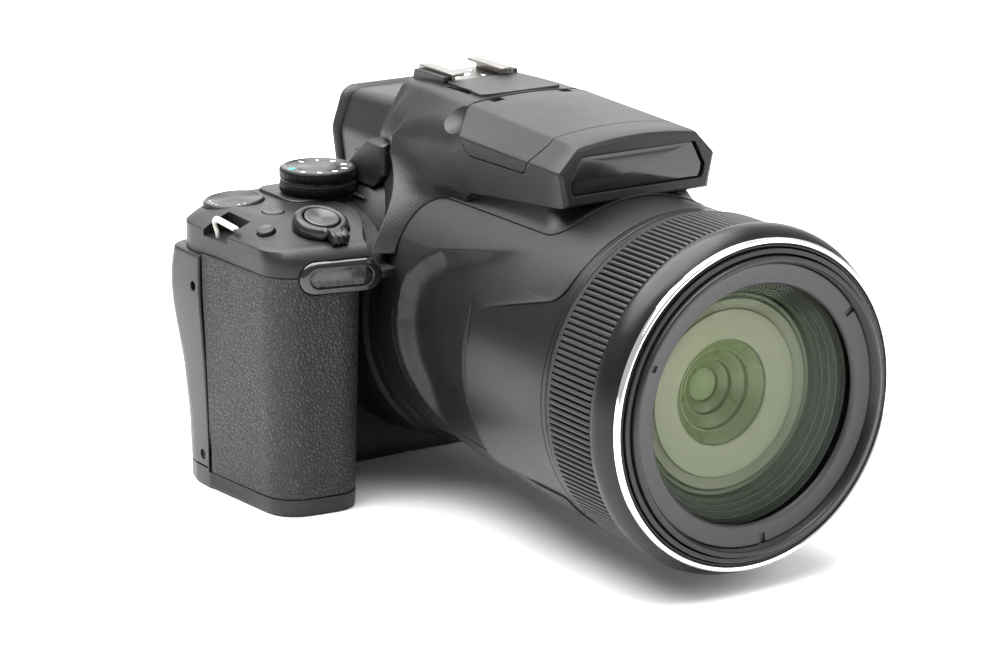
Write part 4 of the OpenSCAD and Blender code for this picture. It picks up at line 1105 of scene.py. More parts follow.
# Ridge on the flank where the hump swells out over the lens: height, depth and half width
RIDGE = np.array(
    [
        (70, 116.8, 48.5), (74.3, 118.5, 46), (81.3, 122, 40), (87, 125.6, 35.6),
        (93, 130, 32), (98.7, 139, 28), (105, 150, 26), (112, 158, 25),
    ]
)
# Depths where the flank starts to swell and where the hump ends, and the station that lies on the ridge
SWELL, HUMP_END, RIDGE_STATION = 106, 151, 120
RIDGE_DEPTH = np.polyfit(RIDGE[:, 0] - 90, RIDGE[:, 1], 4)
RIDGE_HALF = np.polyfit(RIDGE[:, 0] - 90, RIDGE[:, 2], 4)
# Front plate: half width and height of its corners
PLATE = np.array(
    [(-21, 99.2), (21, 99.2), (21.8, 101), (22, 103), (18.6, 109.4), (-18.6, 109.4), (-22, 103), (-21.8, 101)]
)
# Side outline of the flash lid: depth, height and corner radius
LID = np.array(
    [
        (68.3, 125, 1), (68.3, 111.0, 0.6), (72.9, 102.8, 2.2), (98.5, 102.8, 3),
        (103, 107, 3), (109.6, 113, 1), (109.6, 125, 1),
    ]
)


def flank(depth, height):
    """Half width of the hump behind its front: a flat wall that swells up to the ridge and drops back behind it."""
    z = np.clip(height, 70, 110)
    ridge_depth, ridge_half = np.polyval(RIDGE_DEPTH, z - 90), np.polyval(RIDGE_HALF, z - 90)
    wall = np.interp(z, [73, 88, 91.6, 99.5, 107.3], [25, 25.5, 27, 27.2, 27.3])
    rise = np.clip((depth - SWELL) / (ridge_depth - SWELL), 0, 1)
    past = np.maximum(depth - ridge_depth, 0)
    drop = np.interp(z, [74, 93, 97, 110], [5, 4.2, 3.4, 2.4]) * (1 - np.exp(-past / 0.9))
    end = np.interp(z, [73, 83, 91, 105, 110], [29, 28.8, 24.5, 22, 20.6])
    ease = smooth(0, 1, past / np.maximum(HUMP_END - ridge_depth, 2))
    behind = (ridge_half - drop) * (1 - ease) + np.minimum(end, ridge_half - drop) * ease
    return np.where(past > 0, behind, wall + (ridge_half - wall) * rise**1.9)


def hump_depth(station, height):
    """Depth of a station at a height: behind the start of the swell they bend to follow the ridge."""
    z = np.clip(height, 70, 110)
    blend = smooth(97.5, 104, z)
    ridge = np.polyval(RIDGE_DEPTH, np.minimum(z, 100) - 90) * (1 - blend) + 135 * blend
    ahead = SWELL + (ridge - SWELL) * (station - SWELL) / (RIDGE_STATION - SWELL)
    behind = ridge + (HUMP_END - ridge) * (station - RIDGE_STATION) / (HUMP_END - RIDGE_STATION)
    return np.where(station <= SWELL, station, np.where(station <= RIDGE_STATION, ahead, behind))


def hump_points(soft_from):
    """Rings of the hump: flank levels, a crease and a roof edge that soften behind a depth, and a crowned roof."""
    share = np.array([0, 0.004, 0.01, 0.02, 0.035, 0.055, 0.085, 0.13, 0.2, 0.3, 0.42, 0.55, 0.7, 0.85, 1])
    front = [56.2, 56.5, 57.0, 57.6, 58.4, *np.linspace(62, 98, 10), *np.linspace(99, 119, 31), 119.6]
    station = np.concatenate([front, RIDGE_STATION + (HUMP_END - RIDGE_STATION) * share])[:, None]
    top = hump_depth(station, np.full_like(station, 110))
    roof, roof_z, crease, crease_z, waist, waist_z, foot, foot_z = (
        np.interp(top if i <= 4 else station, HUMP[:, 0], HUMP[:, i]) for i in range(1, 9)
    )
    z = foot_z + (crease_z - 7.4 - foot_z) * np.linspace(0, 1, 40)
    table = np.where(
        z < waist_z,
        foot + (waist - foot) * (z - foot_z) / (waist_z - foot_z),
        waist + (crease - waist) * (z - waist_z) / (crease_z - waist_z),
    )
    blend = smooth(100, 107, station)
    depth = hump_depth(station, z)
    x = table * (1 - blend) + flank(depth, z) * blend
    crease = crease * (1 - blend) + flank(top, crease_z) * blend
    soft = smooth(soft_from, soft_from + 11, station)
    corners = np.stack(
        [
            np.concatenate([x[:, -1:], z[:, -1:], 0.05 + 0 * soft], 1),
            np.concatenate([crease, crease_z, 1.2 + 11.8 * soft], 1),
            np.concatenate([roof, roof_z, 0.8 + 4.2 * soft], 1),
            np.concatenate([0 * roof, roof_z, 0.05 + 0 * soft], 1),
            np.concatenate([0 * roof, z[:, -1:], 0.05 + 0 * soft], 1),
        ],
        1,
    )
    over = rounded(corners, 7, 8).reshape(len(station), 5, -1, 2)[:, 1:3].reshape(len(station), -1, 2)
    crown = sizes().roof_crown / MM * (1 - smooth(100, 124, station))
    fade = np.clip((over[..., 1] - roof_z + 2.5) / 2.5, 0, 1) * np.clip(1 - (over[..., 0] / roof) ** 2, 0, 1)
    over[..., 1] += crown * fade
    half = np.concatenate([np.stack([x, z], -1), over], 1)
    peak = np.stack([0 * roof, roof_z + crown], -1)
    left, right = half * [-1, 1], half[:, ::-1].copy()
    right[..., 0] = np.minimum(right[..., 0], 38.5)
    ring = np.concatenate([left, peak, right], 1)
    return np.stack([ring[..., 0], deep(hump_depth(station, ring[..., 1])), ring[..., 1]], -1)


def hump_solid(name, soft_from):
    """Closed hump without its openings, with its crease softened behind a depth."""
    return make(name, [Patch(hump_points(soft_from), caps=True)])


def plate_pocket():
    """Closed prism of the front plate's outline with a gap, as a cutting tool."""
    grow = np.sign(PLATE - [0, 104]) * 0.15
    mouth = rounded(np.concatenate([PLATE + grow, np.full((8, 1), 0.8)], -1), 5, 8)
    return tool(elevation(np.stack([mouth, mouth]), [50, 57.6]))


def lid_outline(gap, lean):
    """Side outline of the flash lid with its rear edge, grown by a gap; the lean clears the lid as it lifts."""
    grow = np.array([(-1, 0), (-1, 0), (-1, -1), (0.5, -1), (1, -0.5), (2, 0), (2, 0)])
    corners = LID.copy()
    corners[:, :2] += grow * gap
    corners[-1, 0] += lean
    return rounded(corners, 6)


class BRIDGECAM_OT_hump(bpy.types.Operator):
    """Shapes the hump over the lens, its flash lid and its front plate"""

    bl_idname = "bridgecam.hump"
    bl_label = "Hump"

    def execute(self, context):
        cover = hump_solid("hump_skin", 97.0)
        front, back = deep(112.0), deep(133.4)
        panel = rounded([(-13.8, front, 2.5), (13.8, front, 2.5), (12, back, 1.5), (-12, back, 1.5)], 6)
        raised = tool(plan(np.stack([panel, panel, panel * [0.985, 1]]), [110.0, 115.5, 115.8]))
        cheeks = side_prism([(133.2, 108), (133.8, 116.8), (149.3, 116.8), (152.2, 108)], 12.6)
        carve(cover, [tool(self.neck()), raised, cheeks], "UNION")
        tools = [
            drum(45.35, 50, 156),
            side_prism(lid_outline(0.3, 2.7), 60),
            plate_pocket(),
            side_pin(100, 98, 3.3, 24.2, 40),
            block((-10.5, deep(133), 114.0), (10.5, deep(152), 120)),
            *(ball(9.0, (side * 28.3, deep(109.7), 115.5)) for side in (-1, 1)),
            block((-14.1, deep(118.5), 111.5), (-12.7, deep(130), 120)),
        ]
        carve(cover, tools, sharp=24)
        coat(cover, "shell")
        dress(cover, "hump_cover")
        lid = hump_solid("flash_lid_skin", 112.0)
        carve(lid, [side_prism(lid_outline(0.0, -1.4), 60)], "INTERSECT")
        tools = [
            side_prism([(60, 110), (72, 103.9), (75.5, 103.9), (75.5, 110)], 14.6),
            side_prism([(75, 104.6), (80, 104.6), (80, 109.4), (75, 109.4)], 14.5),
            block((-13.4, deep(106.4), 110.4), (-9.6, deep(120), 130)),
            block((9.6, deep(106.4), 110.4), (13.4, deep(120), 130)),
        ]
        carve(lid, tools, sharp=24)
        coat(lid, "shell")
        dress(lid, "flash_lid")
        self.plate()
        return {"FINISHED"}

    def neck(self):
        """Rings from the neck's foot on the barrel up to its block: outlines in plan, at a radius that climbs."""
        share = np.array([0, 0, 0.04, 0.12, 0.25, 0.4, 0.55, 0.7, 0.82, 0.91, 0.97, 1.0])
        climb = 45.6 + 6.9 * share**3.2
        climb[0] = 44.6
        half, front, turn = 26.3 - 4.4 * share, deep(55.4 + 10.2 * share), 6.5 - 3.5 * share
        back = deep(118.0)
        ring = outlines([(-half, front, turn), (half, front, turn), (half, back, turn), (-half, back, turn)], 10, 16)
        ring[..., 0] = np.minimum(ring[..., 0], 22.0)
        z = LENS_HEIGHT + np.sqrt(climb[:, None] ** 2 - ring[..., 0] ** 2)
        return np.concatenate([ring, z[..., None]], -1)

    def plate(self):
        """Bare plate, bowed forward: rings of its outline shrink to the middle."""
        corners = np.concatenate([PLATE, np.full((8, 1), 0.7)], -1)
        ring = rounded(corners, 5, 8)
        share = np.array([1.0, 1.0, 0.985, 0.95, 0.8, 0.6, 0.4, 0.2, 0.02])[:, None, None]
        rings = (ring - [0, 104.3]) * share + [0, 104.3]
        depth = np.array([57.45, 57.1, 56.95, 56.9, 56.75, 56.65, 56.58, 56.54, 56.53])
        plate = make("front_plate", [Patch(elevation(rings, depth), caps=True)], "gloss", 50)
        dress(plate, "name_plate")


# Front of the grip and its reach from the lens axis
GRIP_FRONT = deep(118.8)
GRIP_REACH = 80.5


def side_reach(z):
    """Reach of the grip end at a height."""
    return GRIP_REACH - 1.5 * (1 - np.minimum(z / 58, 1) ** 2)


def grip_outline(z, inset, rear):
    """Outline of the grip in plan at heights: outer corner, inner corner and the hollow behind it."""
    g = inset + edge_inset(1.2, z)
    rise, side, front = z / 68, side_reach(z), GRIP_FRONT
    rows = [
        (-side + g, rear, 0.8),
        (-side + 3.5 + g, front - 0.5 * rise + g, 10),
        (-45.5 - 1.4 * g, front - 3.3 - 4 * rise + g, 8),
        (-53.5 - g, -26.0, 14),
        (-53.5 - g, rear, 0.8),
    ]
    return outlines(rows, 10, 12)


def edged(low, high, middles):
    """Heights that gather at both rounded edges, with the heights between."""
    edge = np.array([0, 0.1, 0.3, 0.6])
    return np.concatenate([low + edge, middles, high - edge[::-1]])


class BRIDGECAM_OT_grip(bpy.types.Operator):
    """Wraps the grip in its grained rubber"""

    bl_idname = "bridgecam.grip"
    bl_label = "Grip rubber"

    def execute(self, context):
        low, high, rear = 5.15, 69.9, -8.14
        z = edged(low, high, np.linspace(low + 1.2, high - 1.2, 40))
        roll = 0.5 * (edge_inset(0.6, z - low) + edge_inset(0.6, high - z)) / 0.6
        outer = plan(grip_outline(z, roll, rear), z)
        inner = plan(grip_outline(z[::-1], 1.5, rear), z[::-1])
        rubber = make("grip_rubber_skin", [Patch(np.concatenate([outer, inner]), wrap_rows=True)], "rubber", 40)
        carve(rubber, [lamp_slab(*LAMP_POCKET), block((-79, -9.6, 0), (-54, -6, 80))], sharp=40)
        dress(rubber, "grip_rubber")
        return {"FINISHED"}


# Reach of the side panel's swell at heights
PANEL_REACH = np.array(
    [(6, 67.3), (20, 67.8), (35, 69.2), (47.7, 71.4), (54, 72.3), (61, 72.4), (66, 71.9), (69.5, 71.0)]
)
PANEL_LOW, PANEL_HIGH = 6.05, 69.5
PANEL_SCREWS = ((-80.0, deep(158.2), 60.0), (-79.0, deep(158.2), 9.6))
SCREW = [(0, -1.4), (1.35, -1.4), (1.35, -0.5), (1.2, -0.35), (0.75, -0.3), (0.6, -0.7), (0, -0.8)]


class BRIDGECAM_OT_side_panel(bpy.types.Operator):
    """Shapes the side panel at the grip end, which swells round the rear corner, and its screws"""

    bl_idname = "bridgecam.side_panel"
    bl_label = "Side panel"

    def execute(self, context):
        z = edged(PANEL_LOW, PANEL_HIGH, np.linspace(7.5, 68, 48))
        panel = make("side_panel_skin", [Patch(plan(self.outline(z), z), caps=True)])
        carve(panel, [peg(1.5, -1.5, 6, place, GRIPWARD, 48) for place in PANEL_SCREWS], sharp=30)
        coat(panel, "shell")
        dress(panel, "right_side_panel")
        heads = [Patch(stand(spun(SCREW, 32), place, GRIPWARD)) for place in PANEL_SCREWS]
        dress(make("panel_screws", heads, "satin", 40), beside="right_side_panel")
        return {"FINISHED"}

    def outline(self, z):
        """Outlines in plan: side wall, rear corner whose radius shrinks where the panel swells, and inner walls."""
        reach = np.interp(z, PANEL_REACH[:, 0], PANEL_REACH[:, 1])
        reach = np.convolve(np.pad(reach, 2, mode="edge"), np.ones(5) / 5, "valid")
        swell = np.clip((reach - 67.3) / 5.1, 0, 1)
        radius, side = 12 - 6 * swell, side_reach(z) + 0.8 * swell
        sink = edge_inset(0.6, z - PANEL_LOW) + edge_inset(0.6, PANEL_HIGH - z)
        corner = (reach - radius - 0.833 * (side - radius)) / 0.553
        rear = corner + radius - sink
        side = side - sink
        end = radius - side + 1.0
        rows = [
            (-side, -8.0, 0.5), (-side, rear, radius), (end, rear, 0.3),
            (end, rear - 2, 0.3), (-side + 5, rear - 6, 0.3), (-side + 5, -8.0, 0.3),
        ]
        return outlines(rows, 10)


LAMP = np.array([-58.8, deep(113.8), 69.4])
LAMP_TILT = (0, 0, -13)
# Pocket round the lamp: length, height, front and back
LAMP_POCKET = (24.3, 9.8, -5, 6.2)
# Half length and half height of the lamp's window
WINDOW_HALF, WINDOW_RISE = 8.8, 2.65


def lamp_ring(length, height, count=20):
    """Outline of a slab with round ends in x and z."""
    a = np.linspace(-np.pi / 2, np.pi / 2, count)
    end = np.stack([np.cos(a), np.sin(a)], -1) * height / 2
    shift = np.array([(length - height) / 2, 0])
    return np.concatenate([end + shift, -end - shift])


def at_lamp(rings, depths):
    """Rings of x and z at depths, turned and moved to the lamp."""
    y = np.broadcast_to(np.asarray(depths, float)[:, None, None], rings.shape[:2] + (1,))
    return stand(np.concatenate([rings[..., :1], y, rings[..., 1:]], -1), LAMP, LAMP_TILT)


def lamp_slab(length, height, front, back):
    """Closed slab with round ends at the lamp, as a cutting tool."""
    ring = lamp_ring(length, height)
    return tool(at_lamp(np.stack([ring, ring]), [front, back]))


class BRIDGECAM_OT_lamp(bpy.types.Operator):
    """Sets the lamp's bevelled frame and its bowed window"""

    bl_idname = "bridgecam.lamp"
    bl_label = "Focus lamp"

    def execute(self, context):
        shrink = np.array([0, 0, 0.25, 0.8, 1.9, 2.3, 2.4, 2.4])
        depth = np.array([5.9, 0.6, 0.1, -0.35, -0.75, -0.7, -0.3, 5.9])
        rings = np.stack([lamp_ring(24 - 2 * s * 1.22, 9.5 - 2 * s * 0.82) for s in shrink])
        bezel = make("lamp_frame", [Patch(at_lamp(rings, depth), wrap_rows=True)], "gloss", 45)
        dress(bezel, "af_lamp_bezel")
        across = np.linspace(-1, 1, 121)[:, None]
        up = np.linspace(-1, 1, 13)[None]
        bow = 0.25 - 0.35 * np.cos(up * 1.2) + 0 * across
        dress(make("lamp_window", self.slab(across, up, bow, 3.5), "clear", 60), "af_lamp_window")
        fold = np.abs(across * WINDOW_HALF / 2.3 % 1 * 2 - 1)
        folds = 3.8 + 1.1 * fold + 0.25 * up
        back = make("lamp_reflector", self.slab(across, up, folds, 5.6), "reflector", 20)
        dress(back, beside="af_lamp_bezel")
        return {"FINISHED"}

    def slab(self, across, up, front, behind):
        """Closed slab with round ends: a front face at depths, a rim and a flat back."""
        x = WINDOW_HALF * across
        end = np.clip((np.abs(x) - WINDOW_HALF + WINDOW_RISE) / WINDOW_RISE, 0, 1)
        face = np.stack([np.broadcast_to(x, front.shape), front, WINDOW_RISE * np.sqrt(1 - end**2) * up], -1)
        rim = np.concatenate([face[:, 0], face[::-1, -1]])
        back = rim.copy()
        back[:, 1] = behind
        return [
            Patch(stand(face, LAMP, LAMP_TILT), wrap_columns=False),
            Patch(stand(np.stack([rim, back]), LAMP, LAMP_TILT)),
            Patch(stand(np.stack([back, back * [0.02, 1, 0.02]]), LAMP, LAMP_TILT)),
        ]


DECK = 82.5
DECK_LOW = 68.0


def deck_outline(z):
    """Outline of the dial deck at heights: it draws in at the front, the grip end and the back towards the top."""
    brow_reach, brow_bow = 32, 0.0045
    fall = np.maximum(0, DECK - z)
    brow = DECK - brow_bow * brow_reach**2
    over = 5 + 27 * (1 - np.sqrt(fall / brow_bow) / brow_reach)
    draw = np.where(z <= brow, edge_inset(5, np.maximum(brow - z, 0)), over)
    side = np.minimum(GRIP_REACH, 64 + np.sqrt(fall / 0.02))
    back, front = 11 - edge_inset(4, fall), GRIP_FRONT
    rows = [
        (-side, back, 12.5), (-side + 3.5, front - 0.5 + draw, 10), (-45.5, front - 7.3 + draw, 6),
        (-26, front + draw, 1), (-26, back, 1),
    ]
    return outlines(rows, 10, 6)


def shoulder_outline(depth):
    """Section of the far shoulder at depths: its wall draws in and lifts forward along the lens."""
    t = np.clip((160 - depth) / 40, 0, 1)
    ahead = np.clip((-deep(depth) - 11) / 40, 0, 1)
    i = edge_inset(5, np.maximum(11 - deep(depth), 0))
    side = 40 + 25.8 * (1 - t) ** 2.2 - i
    low, top = DECK_LOW + 14 * ahead, 83 - 0.4 * i
    rows = [
        (24, low, 0.3), (side, low, 0.3), (side, low + 4 - 3 * ahead, 1.5),
        (side - 1 - 5 * (1 - t), 77 + 5 * t - 0.6 * i, 2 - t), (36, top, 1), (24, top, 0.3),
    ]
    return outlines(rows, 5)


MODE = np.array([-40.0, -5.0, DECK + 0.3])
COMMAND = np.array([-64.0, 1.5, DECK - 4.1])
COMMAND_TILT = (0, -5, 0)
SHUTTER = np.array([-57.0, deep(128.0), DECK - 2])
SHUTTER_TILT = (17, 0, 0)
POWER = np.array([*seat("power_button", 2)[0][:2], DECK - 1.2])
FUNCTION = np.array([-71.5, deep(133.0), DECK - 2.2])
FUNCTION_TILT = (9, -16, 0)


class BRIDGECAM_OT_top_cover(bpy.types.Operator):
    """Shapes the top cover with its deck, far shoulder and pockets"""

    bl_idname = "bridgecam.top_cover"
    bl_label = "Top cover"

    def execute(self, context):
        runs = [(0, 0.62, 6), (0.64, 0.9, 24), (0.91, 0.99, 12)]
        share = np.concatenate([*(np.linspace(*run) for run in runs), [0.995, 0.998, 1]])
        z = DECK_LOW + (DECK - DECK_LOW) * share
        cover = make("top_skin", [Patch(plan(deck_outline(z), z), caps=True)])
        depth = np.concatenate([np.linspace(120, 160, 33), [164, 169, 170.5, 171.5, 172.4, 173, 173.5, 173.8]])
        shoulder = tool(elevation(shoulder_outline(depth), depth))
        centre = block((-27, -11, DECK_LOW), (27, 10.5, 83))
        carve(cover, [self.valley()])
        carve(cover, [block((-101, deep(99), 81.7), (-19, deep(181), 101))])
        carve(cover, [shoulder, centre, self.platform(), self.wing()], "UNION")
        tools = [
            self.rubber_step(),
            drum(45.7, 90, 152.6),
            lamp_slab(*LAMP_POCKET),
            block((-100, deep(142.6), 75.2), (-71.0, deep(155.0), 100)),
            block((56.2, -6, 69), (90, 9, 100)),
            peg(9.05, -0.3, 20, COMMAND, COMMAND_TILT),
            peg(3.4, -2.3, 20, POWER),
            peg(2.8, -2.3, 20, FUNCTION, FUNCTION_TILT),
            *(peg(radius, low, 20, SHUTTER, SHUTTER_TILT) for radius, low in ((12.6, 0.8), (8.3, -0.8), (5.3, -1.8))),
        ]
        carve(cover, tools, sharp=26)
        coat(cover, "shell")
        dress(cover, "top_cover")
        return {"FINISHED"}

    def valley(self):
        """Closed trough between the shutter and the hump, as a cutting tool: its floor climbs to the deck."""
        depth = np.linspace(105, 148.6, 45)
        floor = np.interp(depth, [118, 124, 130, 138, 146, 149], [70, 74.5, 77.5, 79.4, 80.4, 80.7])
        places = [117, 122.5, 127, 130.5, 136, 142, 148.3]
        edge = np.interp(depth, places, [-50, -46.5, -43.8, -42.3, -41, -39.7, -41])
        edge = np.convolve(np.pad(edge, 4, mode="edge"), np.ones(9) / 9, "valid")
        rows = [(edge, 100, 0.05), (edge, floor, 1.2), (-15, floor, 0.05), (-15, 100, 0.05)]
        return tool(elevation(outlines(rows, 5), depth))

    def platform(self):
        """Closed low platform under the mode dial: outlines in plan with a rounded upper edge."""
        z = np.array([76.0, 82.0, 82.2, 82.35, 82.45, DECK])
        g = edge_inset(0.5, DECK - z)
        front, back = deep(149.3) + g, 9.5 - g
        rows = [(-26.5, front, 0.3), (-53 + g, front, 5.0), (-53 + g, back, 4.0), (-26.5, back, 0.3)]
        return tool(plan(outlines(rows, 8), z))

    def wing(self):
        """Closed wing that climbs from the dial deck along the hump's flank."""
        z = np.concatenate([np.linspace(76, DECK, 3), DECK + 15.5 * np.linspace(0.02, 1, 30) ** 1.5])
        front = deep(np.interp(z, [76, 86, 89, 98], [143.5, 142, 139.8, 140.2]))
        rear = deep(np.interp(z, [DECK, 91, 97.7], [167, 158, 149.5]))
        left = -29.3 - 4.5 * np.exp(-np.maximum(z - DECK, 0) / 2.2) + edge_inset(1.2, 98 - z)
        rows = [(left, front, 1.5), (left, rear, 1.5), (-20, rear, 0.5), (-20, front, 0.5)]
        return tool(plan(outlines(rows, 6), z))

    def rubber_step(self):
        """Closed slab over the grip rubber that lifts the cover's lower edge, as a cutting tool."""
        return tool(plan(grip_outline(np.array([66.0, 66.0]), -1.5, -8.0), [60.0, 70.05]))


def knurl(count, depth, inside):
    """Ripple of grooves round a dial, on rows farther out than a radius."""

    def ripple(angle, radius):
        groove = np.clip(np.cos(angle * count) * 1.6 - 0.2, 0, 1)
        return np.where(radius > inside, -depth * groove, 0)

    return ripple


def disc_marks(name, rows, place, tilt, node, finish_name):
    """Printed bars on a dial: each row is radius, degrees, half length along the radius, half width and height."""
    radius, degrees, length, width, height = np.asarray(rows, float).T[..., None]
    a = np.radians(degrees)
    r = radius + length * [-1, 1, 1, -1]
    s = width * [-1, -1, 1, 1]
    x, y = r * np.cos(a) - s * np.sin(a), r * np.sin(a) + s * np.cos(a)
    flat = np.stack([x, y, np.broadcast_to(height, x.shape)], -1)
    solid = np.stack([flat - (0, 0, 0.04), flat + (0, 0, 0.03)], 1)
    bars = [Patch(stand(bar, place, tilt), caps=True) for bar in solid]
    dress(make(name, bars, finish_name, 30), beside=node)


# Dials and buttons: radius and height
MODE_STRETCH = 1.14
MODE_DIAL = np.array(
    [
        (0, 0), (10.2, 0), (10.7, 0.08), (11.0, 0.25), (11.15, 0.5), (11.15, 2.4), (11.0, 2.65), (10.6, 2.8),
        (10.3, 2.9), (10.3, 3.3), (10.6, 3.4), (11.0, 3.55), (11.15, 3.8), (11.15, 5.5), (11.05, 5.75), (10.8, 6.0),
        (10.4, 6.2), (10.0, 6.3), (9.7, 6.28), (9.5, 6.15), (9.3, 6.0), (6.1, 5.78), (5.9, 5.85), (5.7, 6.0),
        (5.4, 6.05), (0, 6.1),
    ]
) * [1, MODE_STRETCH]
COMMAND_DIAL = [
    (0, 0), (8.3, 0), (8.6, 0.1), (8.75, 0.35), (8.75, 3.0), (8.65, 3.35), (8.4, 3.6), (8.1, 3.72), (7.8, 3.7),
    (7.55, 3.6), (7.4, 3.5), (2.0, 3.66), (0, 3.7),
]
SHUTTER_BUTTON = [
    (0, -0.4), (4.9, -0.4), (5.0, -0.3), (5.0, 2.8), (4.92, 3.05), (4.7, 3.18), (4.4, 3.2), (4.1, 3.12),
    (3.0, 2.9), (1.5, 2.78), (0, 2.75),
]
# Zoom lever: share of the way out from its bore, height of its ring and height of its tab
LEVER = np.array(
    [
        (0, -0.45, -0.45), (0, 2.35, 2.35), (0.05, 2.75, 2.75), (0.16, 3.0, 3.0), (0.34, 3.08, 3.1),
        (0.52, 3.0, 3.0), (0.7, 2.75, 3.3), (0.86, 2.25, 3.05), (0.96, 1.6, 3.55), (1, 0.9, 3.2), (1, 0.0, 1.2),
        (0.97, -0.3, 0.95), (0.9, -0.45, 0.95), (0.4, -0.45, 0.95),
    ]
)
LEVER_BORE = 5.32


class BRIDGECAM_OT_dials(bpy.types.Operator):
    """Turns the mode dial and the command dial with their printed marks"""

    bl_idname = "bridgecam.dials"
    bl_label = "Dials"

    def execute(self, context):
        dial = Patch(stand(spun(MODE_DIAL, 864, knurl(108, 0.38, 10.75)), MODE))
        mode = make("mode_dial_skin", [dial], "spun_mode", 40)
        paint(mode, "half_gloss", lambda points: np.hypot(points[:, 0] - MODE[0], points[:, 1] - MODE[1]) > 10.55)
        dress(mode, "mode_dial")
        angles = [205 + 36.0 * step for step in range(8)]
        height = 5.94 * MODE_STRETCH
        rows = [(7.9, t, 0.9, 0.36, height) for t in angles] + [(7.9, t + 5, 0.35, 0.3, height) for t in angles[:6]]
        disc_marks("mode_marks", rows, MODE, UPRIGHT, "mode_dial", "mark")
        green = [(8.0, 168, 1.0, 0.8, 5.95 * MODE_STRETCH)]
        disc_marks("mode_mark_green", green, MODE, UPRIGHT, "mode_dial", "green_mark")
        dial = Patch(stand(spun(COMMAND_DIAL, 480, knurl(60, 0.28, 8.5)), COMMAND, COMMAND_TILT))
        dress(make("command_dial_skin", [dial], "spun_command", 40), "command_dial")
        rows = [(6.7, t, 0.35, 0.12, 3.56) for t in (150, 165, 180, 195, 255, 270)]
        disc_marks("command_marks", rows, COMMAND, COMMAND_TILT, "command_dial", "mark")
        return {"FINISHED"}


class BRIDGECAM_OT_release(bpy.types.Operator):
    """Turns the shutter button and the zoom lever round it"""

    bl_idname = "bridgecam.release"
    bl_label = "Shutter release"

    def execute(self, context):
        button = Patch(stand(spun(SHUTTER_BUTTON, 128), SHUTTER, SHUTTER_TILT))
        dress(make("shutter_skin", [button], "spun_shutter", 40), "shutter_button")
        lever = Patch(stand(self.lever(), SHUTTER, SHUTTER_TILT), wrap_rows=True)
        dress(make("zoom_lever_skin", [lever], "satin", 45), "zoom_lever")
        return {"FINISHED"}

    def lever(self):
        """Ring round the button: rows blend from the ring to a ridged tab that reaches out at the front."""
        share, ring_z, tab_z = LEVER.T[..., None]
        a = around(480)[None]
        turn = (np.degrees(a) - 270 + 180) % 360 - 180
        away = np.abs(turn)
        tab = smooth(25, 18.5, away)
        out = 8 + 4 * smooth(18.5, 11, away)
        r = LEVER_BORE + (out - LEVER_BORE) * share
        ridges = 0.3 * tab * smooth(0.5, 0.7, share) * smooth(1.02, 0.98, share) * np.cos(np.radians(turn * 45))
        z = ring_z * (1 - tab) + tab_z * tab + ridges
        return np.stack([r * np.cos(a), r * np.sin(a), z], -1)


def cap_profile(radius, low, high, dish):
    """Profile of a button: straight skirt, rounded edge and a face that may be dished."""
    e = min(0.45, radius * 0.15)
    a = np.linspace(0, np.pi / 2, 6)
    edge = np.stack([radius - e + e * np.cos(a), high - e + e * np.sin(a)], -1)
    r = np.linspace(radius - e, 0, 6)[1:]
    face = np.stack([r, high - dish * (1 - (r / (radius - e)) ** 2)], -1)
    return np.concatenate([[(0, low), (radius, low)], edge, face])


class BRIDGECAM_OT_buttons(bpy.types.Operator):
    """Turns the push buttons on the top, the sides and the back"""

    bl_idname = "bridgecam.buttons"
    bl_label = "Buttons"

    # Buttons that point back (axis 1) or out at the far side (axis 0): radius, axis, finish and dish
    seated = {
        "playback_button": (3.5, 1, "satin", 0.2),
        "menu_button": (3.5, 1, "satin", 0.2),
        "delete_button": (3.5, 1, "satin", 0.2),
        "movie_button": (3.5, 1, "red", 0.2),
        "lock_button": (3.5, 1, "satin", 0.2),
        "ok_button": (6.0, 1, "satin", 0.3),
        "flash_button": (3.0, 0, "satin", -0.2),
        "zoom_return_button": (4.0, 0, "satin", 0.25),
    }

    def execute(self, context):
        self.cap("power_button", 3.1, -1.4, 0.7, POWER, UPRIGHT, "spun_power", 0.12)
        self.cap("function_button", 2.5, -1.4, 0.7, FUNCTION, FUNCTION_TILT, "satin", 0.25)
        for node, (radius, axis, finish_name, dish) in self.seated.items():
            place, height = seat(node, axis)
            self.cap(node, radius, 0, height, place, (FARWARD, BACKWARD)[axis], finish_name, dish)
        self.selector()
        return {"FINISHED"}

    def cap(self, node, radius, low, high, place, tilt, finish_name, dish):
        """Turned cap of one button in place of its node."""
        points = stand(spun(cap_profile(radius, low, high, dish), 72), place, tilt)
        dress(make(node + "_cap", [Patch(points)], finish_name, 40), node)

    def selector(self):
        """Ring round the centre button, knurled on its rim and dished on its face."""
        place, top = seat("multi_selector", 1)
        profile = np.array(
            [
                (6.35, 0), (11.1, 0), (11.45, 0.3), (11.45, top - 0.7), (11.3, top - 0.3), (11.0, top - 0.05),
                (10.6, top), (10.2, top - 0.08), (8.6, top - 0.4), (7.0, top - 0.25), (6.6, top - 0.2),
                (6.35, top - 0.45),
            ]
        )
        points = stand(spun(profile, 400, knurl(40, 0.3, 11.2)), place, BACKWARD)
        dress(make("selector_ring", [Patch(points, wrap_rows=True)], "satin", 40), "multi_selector")


def wire(path, radius, count=16):
    """Round bar along a path in a plane of constant x: closed rings turned square to the path, capped."""
    along = np.gradient(path, axis=0)
    along /= np.linalg.norm(along, axis=1, keepdims=True)
    side = np.array([1.0, 0.0, 0.0])
    up = np.cross(along, side)[:, None]
    a = around(count)[:, None]
    return Patch(path[:, None] + radius[:, None, None] * (np.cos(a) * side + np.sin(a) * up), caps=True)


SHOE_FLOOR = 114.05
